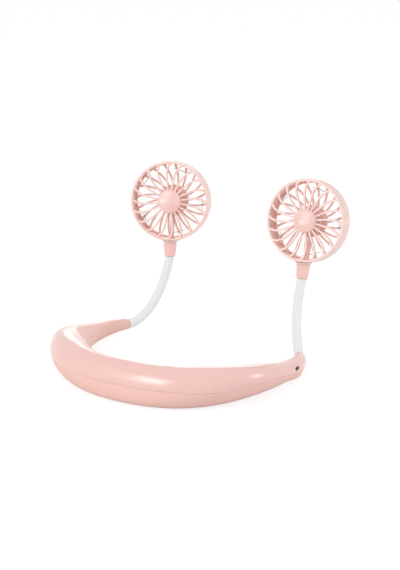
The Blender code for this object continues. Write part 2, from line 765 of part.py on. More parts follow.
def gooseneck(side, sign, tip_frame):
    """Sleeve, conduit and lead, their origin where the gooseneck leans; returns the next pivot."""
    controls, along, rise = gooseneck_route(side, sign, tip_frame)
    pivot = bezier(controls, LEAN_PIVOT_SHARE)
    outside = route_points(controls, SLEEVE_STEPS, GAP, -GAP, along, rise)
    sleeve = tube(f"gooseneck_sleeve_{side}", outside, SLEEVE_RADIUS, "white_silicone",
                  SLEEVE_ROUNDING, pivot)
    past = route_points(controls, SLEEVE_STEPS, -OVERRUN, OVERRUN, along, rise)
    cut(sleeve, tube(f"sleeve_bore_{side}", past, CONDUIT_RADIUS + GAP, None, CORE_ROUNDING))
    core = route_points(controls, CORE_STEPS, -BASE_ANCHOR, FERRULE_LENGTH, along, rise)
    conduit = tube(f"gooseneck_conduit_{side}", core, CONDUIT_RADIUS, "steel", CORE_ROUNDING, pivot)
    longer = route_points(controls, CORE_STEPS, -BASE_ANCHOR - OVERRUN, FERRULE_LENGTH + OVERRUN,
                          along, rise)
    cut(conduit, tube(f"conduit_bore_{side}", longer, CONDUIT_BORE, None, CORE_ROUNDING))
    tube(f"motor_lead_{side}", core, LEAD_RADIUS, "lead_grey", CORE_ROUNDING, pivot)
    anchor = Matrix.Translation(controls[0]) @ along.to_track_quat("Z", "Y").to_matrix().to_4x4()
    ferrule(f"base_ferrule_{side}", -FERRULE_LENGTH, 0, FERRULE_WALL, anchor, None)
    return bezier(controls, SPREAD_PIVOT_SHARE)


def ferrule(name, low, high, wall, matrix, parent):
    bore = CONDUIT_RADIUS + GAP
    profile = [(bore, high), (bore + wall, high), (bore + wall, low), (bore, low)]
    return turned(name, profile, "steel", TINY_STEPS, True, parent, matrix)


def collar(side, tip):
    """The cup under a head: a wide bore for the ferrule, and a web that the neck turns in."""
    line_top = COLLAR_HEIGHT - COLLAR_LINE_DROP
    line_low = line_top - COLLAR_LINE_HEIGHT
    slope = (COLLAR_TOP_RADIUS - COLLAR_BOTTOM_RADIUS) / COLLAR_HEIGHT

    def side_radius(height):
        return COLLAR_BOTTOM_RADIUS + slope * height
    foot = arc((side_radius(COLLAR_ROUND) - COLLAR_ROUND, COLLAR_ROUND), COLLAR_ROUND, 0, -90)
    profile = [
        (STEM_RADIUS + GAP, COLLAR_HEIGHT), (side_radius(COLLAR_HEIGHT), COLLAR_HEIGHT),
        (side_radius(line_top), line_top), (side_radius(line_top) - COLLAR_LINE_DEPTH, line_top),
        (side_radius(line_low) - COLLAR_LINE_DEPTH, line_low), (side_radius(line_low), line_low),
        *foot, (COLLAR_BORE, 0), (COLLAR_BORE, COLLAR_HEIGHT - COLLAR_WEB),
        (STEM_RADIUS + GAP, COLLAR_HEIGHT - COLLAR_WEB)]
    turned(f"collar_{side}", profile, "gloss_pink", SMALL_STEPS, True, tip)
    wall = COLLAR_BORE - 2 * GAP - CONDUIT_RADIUS
    ferrule(f"tip_ferrule_{side}", GAP, FERRULE_LENGTH, wall, None, tip)


def neck_profile(low_turn):
    """The head's neck, from its flange under the drum down to the grooved end of its stem."""
    drum = -(FAN_RADIUS - DRUM_WALL + GAP / 2)
    flange_low = -(FAN_RADIUS + FLANGE_HEIGHT)
    flare = FLANGE_RADIUS + FLANGE_FLARE
    clip_top = low_turn + COLLAR_HEIGHT - COLLAR_WEB - GAP / 2
    clip_low = clip_top - CLIP_THICKNESS - GAP
    groove = STEM_RADIUS - CLIP_GROOVE_DEPTH
    end = clip_low - STEM_TAIL / 2
    outline = [(0, drum), (flare, drum), (flare, -FAN_RADIUS),
               (FLANGE_RADIUS, -FAN_RADIUS - FLANGE_FLARE), (FLANGE_RADIUS, flange_low),
               (STEM_RADIUS, flange_low), (STEM_RADIUS, clip_top), (groove, clip_top),
               (groove, clip_low), (STEM_RADIUS, clip_low), (STEM_RADIUS, end), (0, end)]
    return outline, (clip_top - GAP / 2, clip_low + GAP / 2, groove)


def ribs(name, hub, rim, curve, station_shares, bulge, widths, top, depth, disc, parent):
    """A ring of swept ribs, each a lofted bar from inside the hub to inside the rim."""
    start, sweep, power = curve
    bm = bmesh.new()
    for rib in range(RIB_COUNT):
        turn = math.radians(90 + start + 360 * rib / RIB_COUNT)
        loops = []
        for share in station_shares:
            radius = hub + (rim - hub) * share
            angle = turn - math.radians(sweep) * share ** power
            gain = power * share ** (power - 1) / (rim - hub)
            heading = angle - math.atan(math.radians(sweep) * gain * radius)
            set_back = bulge * (1 - share * share)
            centre = Vector((radius * math.cos(angle), radius * math.sin(angle), -set_back))
            across = Vector((-math.sin(heading), math.cos(heading), 0))
            half = (widths[0] + (widths[1] - widths[0]) * share) / 2
            outline = [(-half, -depth), (half, -depth), (half, 0), (-half, 0)]
            loops.append([bm.verts.new(centre + across * y + Vector((0, 0, top + z)))
                          for y, z in outline])
        for loop, after in zip(loops, loops[1:]):
            for k in range(len(loop)):
                n = (k + 1) % len(loop)
                bm.faces.new((loop[k], loop[n], after[n], after[k]))
        bm.faces.new(loops[0][::-1])
        bm.faces.new(loops[-1])
    bmesh.ops.recalc_face_normals(bm, faces=bm.faces)
    return add_object(name, mesh_from(bm, name), None, parent, disc)


def wire_strut(name, inner, outer, disc, parent):
    """The bar that carries the wires from the neck to the motor, between two (radius, low) ends."""
    bm = bmesh.new()
    loops = []
    for radius, low in (inner, outer):
        outline = [(-STRUT_WIDTH / 2, low), (STRUT_WIDTH / 2, low),
                   (STRUT_WIDTH / 2, low + STRUT_DEPTH), (-STRUT_WIDTH / 2, low + STRUT_DEPTH)]
        loops.append([bm.verts.new((x, -radius, z)) for x, z in outline])
    near, far = loops
    for k in range(len(near)):
        n = (k + 1) % len(near)
        bm.faces.new((near[k], near[n], far[n], far[k]))
    bm.faces.new(near[::-1])
    bm.faces.new(far)
    bmesh.ops.recalc_face_normals(bm, faces=bm.faces)
    return add_object(name, mesh_from(bm, name), None, parent, disc)


def front_grille(side, head, disc):
    top = FAN_DEPTH / 2
    seat = top - RIM_HEIGHT
    inner = FAN_RADIUS - RIM_WIDTH
    spigot = FAN_RADIUS - DRUM_WALL - GAP
    corner = (FAN_RADIUS - RIM_ROUND, top - RIM_ROUND)
    profile = [(inner, top), *arc(corner, RIM_ROUND, 90, 0), (FAN_RADIUS, seat), (spigot, seat),
               (spigot, seat - SPIGOT_LENGTH), (spigot - SPIGOT_WALL, seat - SPIGOT_LENGTH)]
    grille = turned(f"front_grille_{side}", profile, "gloss_pink", LARGE_STEPS, True, head, disc)
    low = top + HUB_EDGE - HUB_THICKNESS
    rise = top + HUB_EDGE
    dome = [(0, rise + HUB_DOME)]
    for share in DOME_SHARES:
        dome.append((HUB_RADIUS * share, rise + HUB_DOME * (1 - share * share)))
    outline = dome + [(HUB_RADIUS, low), (0, low)]
    hub = turned(f"front_hub_{side}", outline, None, ROUND_STEPS, False, head, disc)
    bars = ribs(f"front_ribs_{side}", HUB_RADIUS - 2 * SINK, FAN_RADIUS - RIM_WIDTH / 2,
                FRONT_RIB_CURVE, FRONT_STATION_SHARES, 0, (FRONT_RIB_ROOT, FRONT_RIB_WIDTH),
                top - GAP, FRONT_RIB_DEPTH - 2 * GAP, disc, head)
    join(grille, bars, hub)


def rear_housing(side, head, disc):
    front = FAN_DEPTH / 2 - RIM_HEIGHT - GAP
    back = -FAN_DEPTH / 2
    wall = FAN_RADIUS - DRUM_WALL
    corner = (FAN_RADIUS - RIM_ROUND, back + RIM_ROUND)
    rim = FAN_RADIUS - REAR_RIM_WIDTH
    profile = [(wall, front), (FAN_RADIUS, front), *arc(corner, RIM_ROUND, 0, -90), (rim, back),
               (rim, back + REAR_RIM_HEIGHT), (wall, back + REAR_RIM_HEIGHT)]
    housing = turned(f"rear_housing_{side}", profile, "gloss_pink", LARGE_STEPS, True, head, disc)
    bars = ribs(f"rear_ribs_{side}", MOTOR_PLATE_RADIUS - 2 * SINK, FAN_RADIUS - REAR_RIM_WIDTH / 2,
                REAR_RIB_CURVE, REAR_STATION_SHARES, REAR_BULGE, (REAR_RIB_ROOT, REAR_RIB_WIDTH),
                back + REAR_RIB_DEPTH - GAP, REAR_RIB_DEPTH - 2 * GAP, disc, head)
    cup_radius = MOTOR_RADIUS + GAP + MOTOR_CUP_WALL
    plate = back - REAR_BULGE
    plate_top = plate + MOTOR_PLATE_THICKNESS
    floor = plate + MOTOR_CUP_FLOOR - MOTOR_CUP_DOME
    mouth = floor + MOTOR_CUP_DEPTH
    bore = MOTOR_RADIUS + GAP
    cup = turned(f"motor_cup_{side}", [
        (0, floor), (bore, floor), (bore, mouth), (cup_radius, mouth), (cup_radius, plate_top),
        (MOTOR_PLATE_RADIUS, plate_top), (MOTOR_PLATE_RADIUS, plate),
        (MOTOR_PLATE_RADIUS - MOTOR_CUP_DOME, plate - MOTOR_CUP_DOME), (0, plate - MOTOR_CUP_DOME)],
        None, ROUND_STEPS, False, head, disc)
    strut = wire_strut(f"wire_strut_{side}", (bore + SINK, plate), (wall + SINK, back + 2 * GAP), disc,
                       head)
    collar_low = -(FAN_RADIUS + FLANGE_HEIGHT + GAP + COLLAR_HEIGHT)
    outline, clip = neck_profile(collar_low)
    neck = turned(f"neck_{side}", outline, None, TINY_STEPS, False, head)
    join(housing, bars, cup, strut, neck)
    way = -(FAN_RADIUS - DRUM_WALL - OVERRUN)
    stem_end = outline[-1][1]
    cut(housing, cylinder(f"wire_way_{side}", STEM_BORE, stem_end - OVERRUN, way, None, TINY_STEPS,
                          head))
    cut(housing, cylinder(f"rim_room_{side}", FAN_RADIUS + GAP, front, FAN_DEPTH / 2 + OVERRUN, None,
                          LARGE_STEPS, head, disc))
    top, low, groove = clip
    ring = [(groove + GAP / 2, top), (COLLAR_BORE - GAP, top), (COLLAR_BORE - GAP, low),
            (groove + GAP / 2, low)]
    turned(f"swivel_clip_{side}", ring, "steel", SMALL_STEPS, True, head)
    return floor


def motor(side, head, disc, floor):
    cap_low = floor + GAP
    cap_top = cap_low + MOTOR_CAP_LENGTH
    cylinder(f"motor_end_cap_{side}", MOTOR_RADIUS, cap_low, cap_top, "black_plastic", SMALL_STEPS,
             head, disc)
    can_low = cap_top + GAP
    can_top = can_low + MOTOR_LENGTH
    nose = can_top + MOTOR_NOSE_HEIGHT
    bore = SHAFT_RADIUS + GAP
    bore_low = nose - SHAFT_DEPTH - GAP
    turned(f"motor_can_{side}", [
        (0, bore_low), (bore, bore_low), (bore, nose), (MOTOR_NOSE_RADIUS, nose),
        (MOTOR_NOSE_RADIUS, can_top), (MOTOR_RADIUS, can_top), (MOTOR_RADIUS, can_low), (0, can_low)],
        "steel", SMALL_STEPS, False, head, disc)
    return nose


def blade_set(name, root, tip, centre, disc, parent):
    """Twisted blades, each a loft of lens-shaped sections from root to tip."""
    bm = bmesh.new()
    for blade in range(BLADE_COUNT):
        turn = Matrix.Rotation(2 * math.pi * blade / BLADE_COUNT, 4, "Z")
        loops = []
        for k in range(BLADE_STATIONS):
            share = k / (BLADE_STATIONS - 1)
            radius = root + (tip - root) * share
            growth = share ** BLADE_CHORD_POWER
            chord = BLADE_ROOT_CHORD + (BLADE_TIP_CHORD - BLADE_ROOT_CHORD) * growth
            pitch = math.radians(BLADE_ROOT_PITCH + (BLADE_TIP_PITCH - BLADE_ROOT_PITCH) * share)
            half = BLADE_THICKNESS / 2
            outline = [(-chord / 2, 0), (0, half), (chord / 2, 0), (0, -half)]
            loop = []
            for along, off in outline:
                around = (along * math.cos(pitch) - off * math.sin(pitch)) / radius
                height = along * math.sin(pitch) + off * math.cos(pitch)
                spot = Vector((radius * math.cos(around), radius * math.sin(around), centre + height))
                loop.append(bm.verts.new(turn @ spot))
            loops.append(loop)
        for loop, after in zip(loops, loops[1:]):
            for k in range(len(loop)):
                n = (k + 1) % len(loop)
                bm.faces.new((loop[k], loop[n], after[n], after[k]))
        bm.faces.new(loops[0][::-1])
        bm.faces.new(loops[-1])
    bmesh.ops.recalc_face_normals(bm, faces=bm.faces)
    return add_object(name, mesh_from(bm, name), None, parent, disc)


def impeller(side, head, disc, nose):
    roof = FAN_DEPTH / 2 + HUB_EDGE - HUB_THICKNESS - IMPELLER_AIR
    skirt = roof - IMPELLER_HUB_HEIGHT
    cavity = IMPELLER_HUB_RADIUS - IMPELLER_HUB_WALL
    under = roof - IMPELLER_ROOF
    bore = SHAFT_RADIUS + SHAFT_FIT
    boss_low = nose + IMPELLER_AIR
    profile = [(0, roof), (IMPELLER_HUB_RADIUS - IMPELLER_AIR, roof),
               (IMPELLER_HUB_RADIUS, roof - IMPELLER_AIR), (IMPELLER_HUB_RADIUS, skirt),
               (cavity, skirt), (cavity, under), (IMPELLER_BOSS_RADIUS, under),
               (IMPELLER_BOSS_RADIUS, boss_low), (bore, boss_low), (bore, under + GAP),
               (0, under + GAP)]
    wheel = turned(f"impeller_{side}", profile, "clear_white", SMALL_STEPS, False, head, disc)
    tip = FAN_RADIUS - DRUM_WALL - GAP - SPIGOT_WALL - BLADE_TIP_AIR
    low = -FAN_DEPTH / 2 + REAR_RIM_HEIGHT
    high = FAN_DEPTH / 2 - FRONT_RIB_DEPTH
    root = IMPELLER_HUB_RADIUS - SINK
    join(wheel, blade_set(f"blades_{side}", root, tip, (low + high) / 2, disc, head))
    cylinder(f"motor_shaft_{side}", SHAFT_RADIUS, nose - SHAFT_DEPTH, under, "steel", TINY_STEPS,
             head, disc)


def fan_side(side, sign, forwards, outwards, toe_in):
    """Gooseneck, collar and fan head of one side, placed from the gooseneck's tip."""
    height = NECK_SETTINGS[side][0]
    rotation = side_rotation(sign, forwards, outwards, toe_in)
    tip_frame = Matrix.Translation((sign * TIP_ACROSS, TIP_FORWARD, height)) @ rotation
    pivot = Matrix.Translation(gooseneck(side, sign, tip_frame))
    spread = empty(f"spread_{side}", pivot)
    tip = empty(f"tip_{side}", pivot.inverted() @ tip_frame, spread)
    collar(side, tip)
    reach = COLLAR_HEIGHT + GAP + FLANGE_HEIGHT + FAN_RADIUS
    head = empty(f"head_{side}", Matrix.Translation((0, 0, reach)), tip)
    disc = Matrix.Rotation(math.radians(90), 4, "X")
    front_grille(side, head, disc)
    floor = rear_housing(side, head, disc)
    nose = motor(side, head, disc, floor)
    impeller(side, head, disc, nose)


outer_half, inner_half, shank_holes, pilot_holes = neckband()
battery_cells()
electronics(outer_half, inner_half, shank_holes, pilot_holes)
for side_name, head_setting in HEAD_SETTINGS.items():
    fan_side(side_name, *head_setting)
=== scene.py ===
"""Looks of the hands-free neck fan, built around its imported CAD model."""

from bisect import bisect_right
import json
from math import atan, copysign, cos, exp, pi, radians, sin, sqrt, tan

import bmesh
import bpy
from mathutils import Matrix, Vector

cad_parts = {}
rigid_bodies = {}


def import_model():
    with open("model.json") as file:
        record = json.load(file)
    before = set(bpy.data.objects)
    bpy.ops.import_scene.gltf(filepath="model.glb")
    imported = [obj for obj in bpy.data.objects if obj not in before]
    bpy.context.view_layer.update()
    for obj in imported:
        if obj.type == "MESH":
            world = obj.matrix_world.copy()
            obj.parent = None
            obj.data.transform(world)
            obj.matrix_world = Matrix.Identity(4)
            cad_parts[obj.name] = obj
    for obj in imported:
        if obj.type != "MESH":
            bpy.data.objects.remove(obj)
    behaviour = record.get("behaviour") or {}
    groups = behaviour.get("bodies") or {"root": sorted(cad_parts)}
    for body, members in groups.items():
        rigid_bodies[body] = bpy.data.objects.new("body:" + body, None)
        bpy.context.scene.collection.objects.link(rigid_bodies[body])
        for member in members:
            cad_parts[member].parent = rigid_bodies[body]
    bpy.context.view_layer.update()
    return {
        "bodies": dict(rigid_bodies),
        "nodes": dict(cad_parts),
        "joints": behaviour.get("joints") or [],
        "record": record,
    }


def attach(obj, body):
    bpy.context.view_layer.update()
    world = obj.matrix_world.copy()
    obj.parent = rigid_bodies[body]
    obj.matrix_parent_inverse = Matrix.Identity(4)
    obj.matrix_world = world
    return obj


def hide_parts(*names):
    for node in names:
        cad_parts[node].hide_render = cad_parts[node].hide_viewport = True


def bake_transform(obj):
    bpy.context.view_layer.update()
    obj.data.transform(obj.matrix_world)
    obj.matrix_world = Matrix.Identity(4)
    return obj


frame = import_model()

# Lengths are in metres and angles in degrees throughout

# The photograph's camera, with its scale in pixels per metre at the target and a sensor in millimetres
IMAGE_WIDTH = 400
IMAGE_HEIGHT = 570
VIEW_AZIMUTH = 29.4754
VIEW_ELEVATION = 17.8444
VIEW_DISTANCE = 1.0634702
VIEW_SCALE = 1248.3
VIEW_TARGET = (0, 0.0716, 0.040)
VIEW_SHIFT_RIGHT = 0.0249216
VIEW_SHIFT_UP = 0.0311967
SENSOR = 36.0

# Shared fits and finishes
GAP = 0.0003
SINK = 0.0006
OVERRUN = 0.0012
FINE = 0.00025
ON_AXIS = 1e-7
SHARP_ANGLE = 38
LARGEST_CORNER_SHARE = 0.49

# Neckband, as in the imported CAD model but for the inner seam and the heel
BAND_LENGTH = 0.1386
BAND_HALF_WIDTH = 0.1050
BACK_FORWARD = 0.0023
PATH_SHARES = ((0, 0), (0.714, 0), (0.72, 0.399), (1, 0.724), (0.795, 1))
PATH_SAMPLES = 1600
BACK_HALF_HEIGHT = 0.0162
OUTER_BULGE = 0.0217
INNER_BULGE = 0.0099
BACK_LEAN = 29.0
SIDE_LEAN = 32.5
REST_FLAT = 0.0006
END_FLAT_SHARE = 0.9
WALL = 0.0014
OUTER_POWER = 2.2
INNER_POWER = 3.4
END_POWER = 2.0
END_POWER_SPEED = 6
ARM_END_RADIUS = 0.0045
HEIGHT_STATION_SHARES = (0, 0.3, 0.55, 0.8, 1)
HEIGHT_SHARES = (1, 0.944, 0.735, 0.466)
BULGE_STATION_SHARES = (0, 0.5, 0.8, 1)
OUTER_SHARES = (0.484, 1, 0.428)
INNER_SHARES = (1, 0.859, 0.57)
LEAN_STATION_SHARES = (0, 0.6, 1)
SEAM_STATION_SHARES = (0, 0.16, 0.42, 0.67, 1)
OUTER_SEAM_ANGLES = (-14, -17, -35, -24, -24)
INNER_SEAM_STATION_SHARES = (0, 0.3, 0.45, 0.6, 0.8, 1)
INNER_SEAM_ANGLES = (122, 118, 90, 62, 80, 98)
HEEL_REACH = 0.0034
HEEL_STATION_SHARE = 0.83
HEEL_SPREAD = 0.09
HEEL_ANGLE = 282
HEEL_SWEEP = 52
FLAT_SEARCH_STEPS = 16
LOWEST_ANGLES = range(180, 340)

# Density of the neckband's skin
BAND_ROWS = 190
OUTER_STEPS = 44
INNER_STEPS = (24, 4, 14)
EDGE_STEPS = 4
SEAM_WIDTHS = (0.00002, 0.00014)
SEAM_WIDENS = (-0.3, 0.0)
EDGE_ROUND = 0.00003
END_ROUND = 0.0008
END_ROWS = 5

# Screws and the holes through the shells
HOLE_STEPS = 48
SCREW_STATION_SHARES = (0, -0.4, 0.4)
SCREW_RADIUS = 0.0010
SCREW_HEAD_RADIUS = 0.0021
BOSS_RADIUS = 0.0034
BOSS_DEPTH = 0.0032
HEAD_SEAT_DEPTH = 0.0018

# Electronics in the right arm
PORT_STATION_SHARE = 0.8
PORT_ANGLE = -2
PORT_WIDTH = 0.0081
PORT_HEIGHT = 0.0031
PORT_REACH = 0.0065
PORT_ROUND_SHARE = 0.42
BUTTON_SETBACK = 0.0140
BUTTON_RADIUS = 0.0030
BUTTON_PROUD = 0.0007
BUTTON_DOME = 0.0004
BUTTON_DOME_STEPS = 8
BUTTON_STEPS = 64
BUTTON_FLANGE = 0.0007
BUTTON_FLANGE_THICKNESS = 0.0006
LIGHT_SETBACK = 0.0205
LIGHT_RADIUS = 0.0011

# Goosenecks
SLEEVE_RADIUS = 0.0040
CONDUIT_RADIUS = 0.0020
CONDUIT_BORE = 0.0011
LEAD_RADIUS = 0.0007
BASE_ANCHOR = 0.009
FERRULE_LENGTH = 0.006
ROUTE_STEPS = 144
SLEEVE_RING_DEPTH = 0.00004
SLEEVE_SIDES = 48
CONDUIT_SIDES = 20
LEAD_SIDES = 12

# Heads
TIP_ACROSS = 0.0647
TIP_FORWARD = 0.1825

# Each gooseneck: tip height, both pulls, and how much more than its head it leans forwards and
# outwards below the tip; each head: its side, lean forwards, lean outwards and turn inwards
NECK_SETTINGS = {
    "right": (0.0577, 0.0147, 0.0399, 3.0, 5.3),
    "left": (0.0588, 0.0173, 0.0382, 4.7, -9.0),
}
HEAD_SETTINGS = {"right": (1, 13.4, -1.1, -0.4), "left": (-1, 8.2, 3.1, 17.2)}
COLLAR_HEIGHT = 0.0115
COLLAR_TOP_RADIUS = 0.0058
COLLAR_BOTTOM_RADIUS = 0.0048
COLLAR_BORE = 0.0035
COLLAR_WEB = 0.0026
COLLAR_LINE_DROP = 0.0012
COLLAR_LINE_WIDTH = 0.0005
COLLAR_LINE_DEPTH = 0.00014
COLLAR_STEPS = 96
LIP_GAP = 0.0001
FLANGE_RADIUS = 0.0059
FLANGE_FLARE = 0.0011
FLANGE_SPREAD = 0.0005
FLANGE_HEIGHT = 0.0022
STEM_RADIUS = 0.0026
STEM_TAIL = 0.0016
STEM_BORE = 0.0012
STEM_BORE_STEPS = 32
NECK_STEPS = 64
CLIP_THICKNESS = 0.0006
CLIP_GROOVE_DEPTH = 0.0006
FAN_RADIUS = 0.0350
FAN_DEPTH = 0.0143
DRUM_WALL = 0.0012
RIM_WIDTH = 0.0019
RIM_HEIGHT = 0.0028
REAR_RIM_WIDTH = 0.0030
REAR_RIM_HEIGHT = 0.0026
SPIGOT_WALL = 0.0009
SPIGOT_LENGTH = 0.0022
RIM_SEAM = 0.0001
RIB_COUNT = 20
FRONT_RIB_CURVE = (8.8, 10.2, 3.8)
REAR_RIB_CURVE = (0.9, -14.9, 1)
RIB_STATIONS = 20
FRONT_RIB_WIDTH = 0.0018
FRONT_RIB_ROOT = 0.0015
FRONT_RIB_DEPTH = 0.0028
REAR_RIB_WIDTH = 0.0018
REAR_RIB_ROOT = 0.0015
REAR_RIB_DEPTH = 0.0026
REAR_BULGE = 0.0035
RIB_ROUND = 0.00035
RIB_FLARE = 0.55
RIB_FLARE_REACH = 0.0014
HUB_RADIUS = 0.0101
HUB_EDGE = 0.0006
HUB_DOME = 0.0022
HUB_DOME_STEPS = 12
HUB_THICKNESS = 0.0022
STRUT_WIDTH = 0.0034
STRUT_DEPTH = 0.0030
STRUT_ROUND = 0.0007
MOTOR_RADIUS = 0.0062
MOTOR_LENGTH = 0.0098
MOTOR_CAP_LENGTH = 0.0012
MOTOR_NOSE_HEIGHT = 0.0006
MOTOR_CUP_WALL = 0.0023
MOTOR_CUP_FLOOR = 0.0013
MOTOR_CUP_DEPTH = 0.0050
MOTOR_CUP_DOME = 0.0007
MOTOR_PLATE_RADIUS = 0.0136
MOTOR_PLATE_THICKNESS = 0.0012
SHAFT_RADIUS = 0.00075
IMPELLER_HUB_RADIUS = 0.0086
IMPELLER_HUB_WALL = 0.0012
IMPELLER_HUB_HEIGHT = 0.0080
IMPELLER_ROOF = 0.0014
IMPELLER_BOSS_RADIUS = 0.0020
IMPELLER_AIR = 0.0006
SHAFT_FIT = 0.0002
BLADE_COUNT = 5
BLADE_STATIONS = 14
BLADE_SIDES = 16
BLADE_EDGE_SHARE = 0.98
BLADE_THICKNESS = 0.0009
BLADE_ROOT_CHORD = 0.0085
BLADE_TIP_CHORD = 0.0170
BLADE_CHORD_POWER = 0.7
BLADE_ROOT_PITCH = 38.0
BLADE_TIP_PITCH = 20.0
BLADE_TIP_AIR = 0.0036
DISC_STEPS = 160
HUB_STEPS = 80
MOTOR_PLATE = -FAN_DEPTH / 2 - REAR_BULGE
CUP_FLOOR = MOTOR_PLATE + MOTOR_CUP_FLOOR - MOTOR_CUP_DOME

# Rounding of each corner of the turned outlines, in their order
COLLAR_ROUNDS = (0.0002, 0.0004, 0.0001, 0.0001, 0.0001, 0.0001, 0.0013, 0.0003, 0, 0)
GRILLE_RIM_ROUNDS = (0.0004, 0.0010, 0.0001, 0, 0.0001, 0.0002)
HUB_ROUNDS = (0, 0.0007, 0.0002, 0)
NECK_ROUNDS = (0, 0, 0.0004, 0.0014, 0.0002, 0, 0, 0, 0, 0, 0.0002, 0)
DRUM_ROUNDS = (0, 0.0001, 0.0010, 0.0004, 0.0002, 0)
CUP_ROUNDS = (0, 0, 0.0003, 0.0004, 0.0006, 0.0005, 0.0008, 0)
WHEEL_ROUNDS = (0, 0.0008, 0.0003, 0.0003, 0.0004, 0.0003, 0.0002, 0, 0, 0)

# Textures: scales per metre, and where a texture's range gives the darkest and palest colour
PLASTIC_IOR = 1.46
FLOW_SCALE = 38
GLOSS_SCALE = 95
WAVE_SCALE = 24
WAVE_DEPTH = 0.00006
STREAK_SCALE = 900
STREAK_DEPTH = 0.00001
DARKEST_AT = 0.3
PALEST_AT = 0.7


# ---- Materials ----

def linear(r, g, b):
    """Linear colour of an sRGB colour given from 0 to 255."""
    def one(value):
        value /= 255
        return value / 12.92 if value <= 0.04045 else ((value + 0.055) / 1.055) ** 2.4
    return (one(r), one(g), one(b), 1)


def set_inputs(node, values):
    """Set a node's inputs by name; an underscore stands for a space."""
    for socket, value in values.items():
        node.inputs[socket.replace("_", " ")].default_value = value
    return node


def new_node(tree, kind, **values):
    return set_inputs(tree.nodes.new("ShaderNode" + kind), values)


class Surface:
    """A Principled material whose colour, roughness and relief come from procedural textures."""

    def __init__(self, name, **values):
        self.material = bpy.data.materials.new(name)
        self.material.use_nodes = True
        self.tree = self.material.node_tree
        self.shader = set_inputs(self.tree.nodes["Principled BSDF"], values)
        self.place = new_node(self.tree, "TexCoord").outputs["Object"]
        self.height = None

    def noise(self, scale, detail=3.0, roughness=0.5, stretch=None):
        place = self.place
        if stretch:
            mapping = new_node(self.tree, "Mapping", Scale=stretch)
            self.tree.links.new(place, mapping.inputs["Vector"])
            place = mapping.outputs["Vector"]
        texture = new_node(self.tree, "TexNoise", Scale=scale, Detail=detail, Roughness=roughness)
        self.tree.links.new(place, texture.inputs["Vector"])
        return texture.outputs["Fac"]

    def colour(self, value, dark, pale):
        node = new_node(self.tree, "ValToRGB")
        stops = zip(node.color_ramp.elements, (DARKEST_AT, PALEST_AT), (dark, pale))
        for element, position, tone in stops:
            element.position = position
            element.color = tone
        self.tree.links.new(value, node.inputs["Fac"])
        self.tree.links.new(node.outputs["Color"], self.shader.inputs["Base Color"])

    def roughness(self, value, low, high):
        """Roughness from low to high over a texture's middle half."""
        node = new_node(self.tree, "MapRange", From_Min=0.25, From_Max=0.75, To_Min=low, To_Max=high)
        self.tree.links.new(value, node.inputs["Value"])
        self.tree.links.new(node.outputs["Result"], self.shader.inputs["Roughness"])

    def relief(self, value, depth, strength):
        """Bump of this depth in metres, on top of any relief already there."""
        bump = new_node(self.tree, "Bump", Strength=strength, Distance=depth)
        self.tree.links.new(value, bump.inputs["Height"])
        if self.height:
            self.tree.links.new(self.height, bump.inputs["Normal"])
        self.height = bump.outputs["Normal"]
        self.tree.links.new(self.height, self.shader.inputs["Normal"])


def toned(colour, factor):
    """The colour made paler or darker."""
    return tuple(min(1, c * factor) for c in colour[:3]) + (1,)


def plastic(name, colour, low, high, mottle=0.02, grain=None, **sockets):
    """Moulded plastic: faint flow mottling, gloss that varies from low to high and, on matt pieces, an
    eroded grain of (scale, depth)."""
    surface = Surface(name, IOR=PLASTIC_IOR, **sockets)
    flow = surface.noise(FLOW_SCALE, detail=4, roughness=0.55)
    surface.colour(flow, toned(colour, 1 - mottle), toned(colour, 1 + mottle))
    surface.roughness(surface.noise(GLOSS_SCALE, detail=5, roughness=0.6), low, high)
    surface.relief(surface.noise(WAVE_SCALE, detail=2, roughness=0.4), WAVE_DEPTH, strength=0.35)
    if grain:
        scale, depth = grain
        surface.relief(surface.noise(scale, detail=2, roughness=0.6), depth, strength=0.6)
    return surface.material


def brushed(name, colour, roughness, stretch, metallic=1.0):
    """Metal with fine streaks along its length."""
    surface = Surface(name, Metallic=metallic, IOR=1.5)
    streaks = surface.noise(STREAK_SCALE, detail=4, roughness=0.6, stretch=stretch)
    surface.colour(streaks, toned(colour, 0.9), toned(colour, 1.06))
    surface.roughness(streaks, roughness - 0.06, roughness + 0.08)
    surface.relief(streaks, STREAK_DEPTH, strength=0.4)
    return surface.material


GLOSS_PINK = plastic("gloss_pink_abs", linear(240, 196, 188), 0.2, 0.28, 0.012,
                     Coat_Weight=0.35, Coat_Roughness=0.18)
MATTE_PINK = plastic("matte_pink_abs", linear(242, 198, 188), 0.45, 0.58, 0.014, (2600, 0.00003),
                     Specular_IOR_Level=0.35)
GRILLE_PINK = plastic("grille_pink_abs", linear(251, 210, 203), 0.3, 0.4, 0.014, (1900, 0.000012),
                      Subsurface_Weight=0.6, Subsurface_Scale=0.003, Subsurface_Radius=(1, 0.85, 0.65),
                      Coat_Weight=0.5, Coat_Roughness=0.28, Specular_IOR_Level=0.35)
FAN_PINK = plastic("satin_pink_abs", linear(250, 214, 207), 0.4, 0.5, 0.014, (1900, 0.000012),
                   Subsurface_Weight=0.6, Subsurface_Scale=0.003, Subsurface_Radius=(1, 0.9, 0.7),
                   Specular_IOR_Level=0.2)
COLLAR_PINK = plastic("collar_pink_abs", linear(249, 206, 197), 0.4, 0.5, 0.02, (1900, 0.000012),
                      Specular_IOR_Level=0.25)
SILICONE = plastic("white_silicone_rubber", linear(238, 239, 241), 0.42, 0.56, 0.008, (3200, 0.00002))
# The impeller's hub is the same clear white moulding as its blades, drawn opaque; its darker, pinker tone
# is painted shade.
FROSTED_HUB_PAINTED_SHADE = plastic("frosted_hub_painted_shade", linear(226, 208, 202), 0.3, 0.42, 0.01)
CLEAR_WHITE = plastic("frosted_clear", linear(236, 238, 242), 0.2, 0.32, 0.006, Alpha=0.05)
# The blades' outermost strip is the same clear plastic, drawn greyer and less clear: a painted line
# standing in for the light that the clear tips bend.
BLADE_TIP_PAINTED_LINE = plastic("blade_tip_painted_line", linear(190, 198, 198), 0.3, 0.42, 0.006, Alpha=0.12)
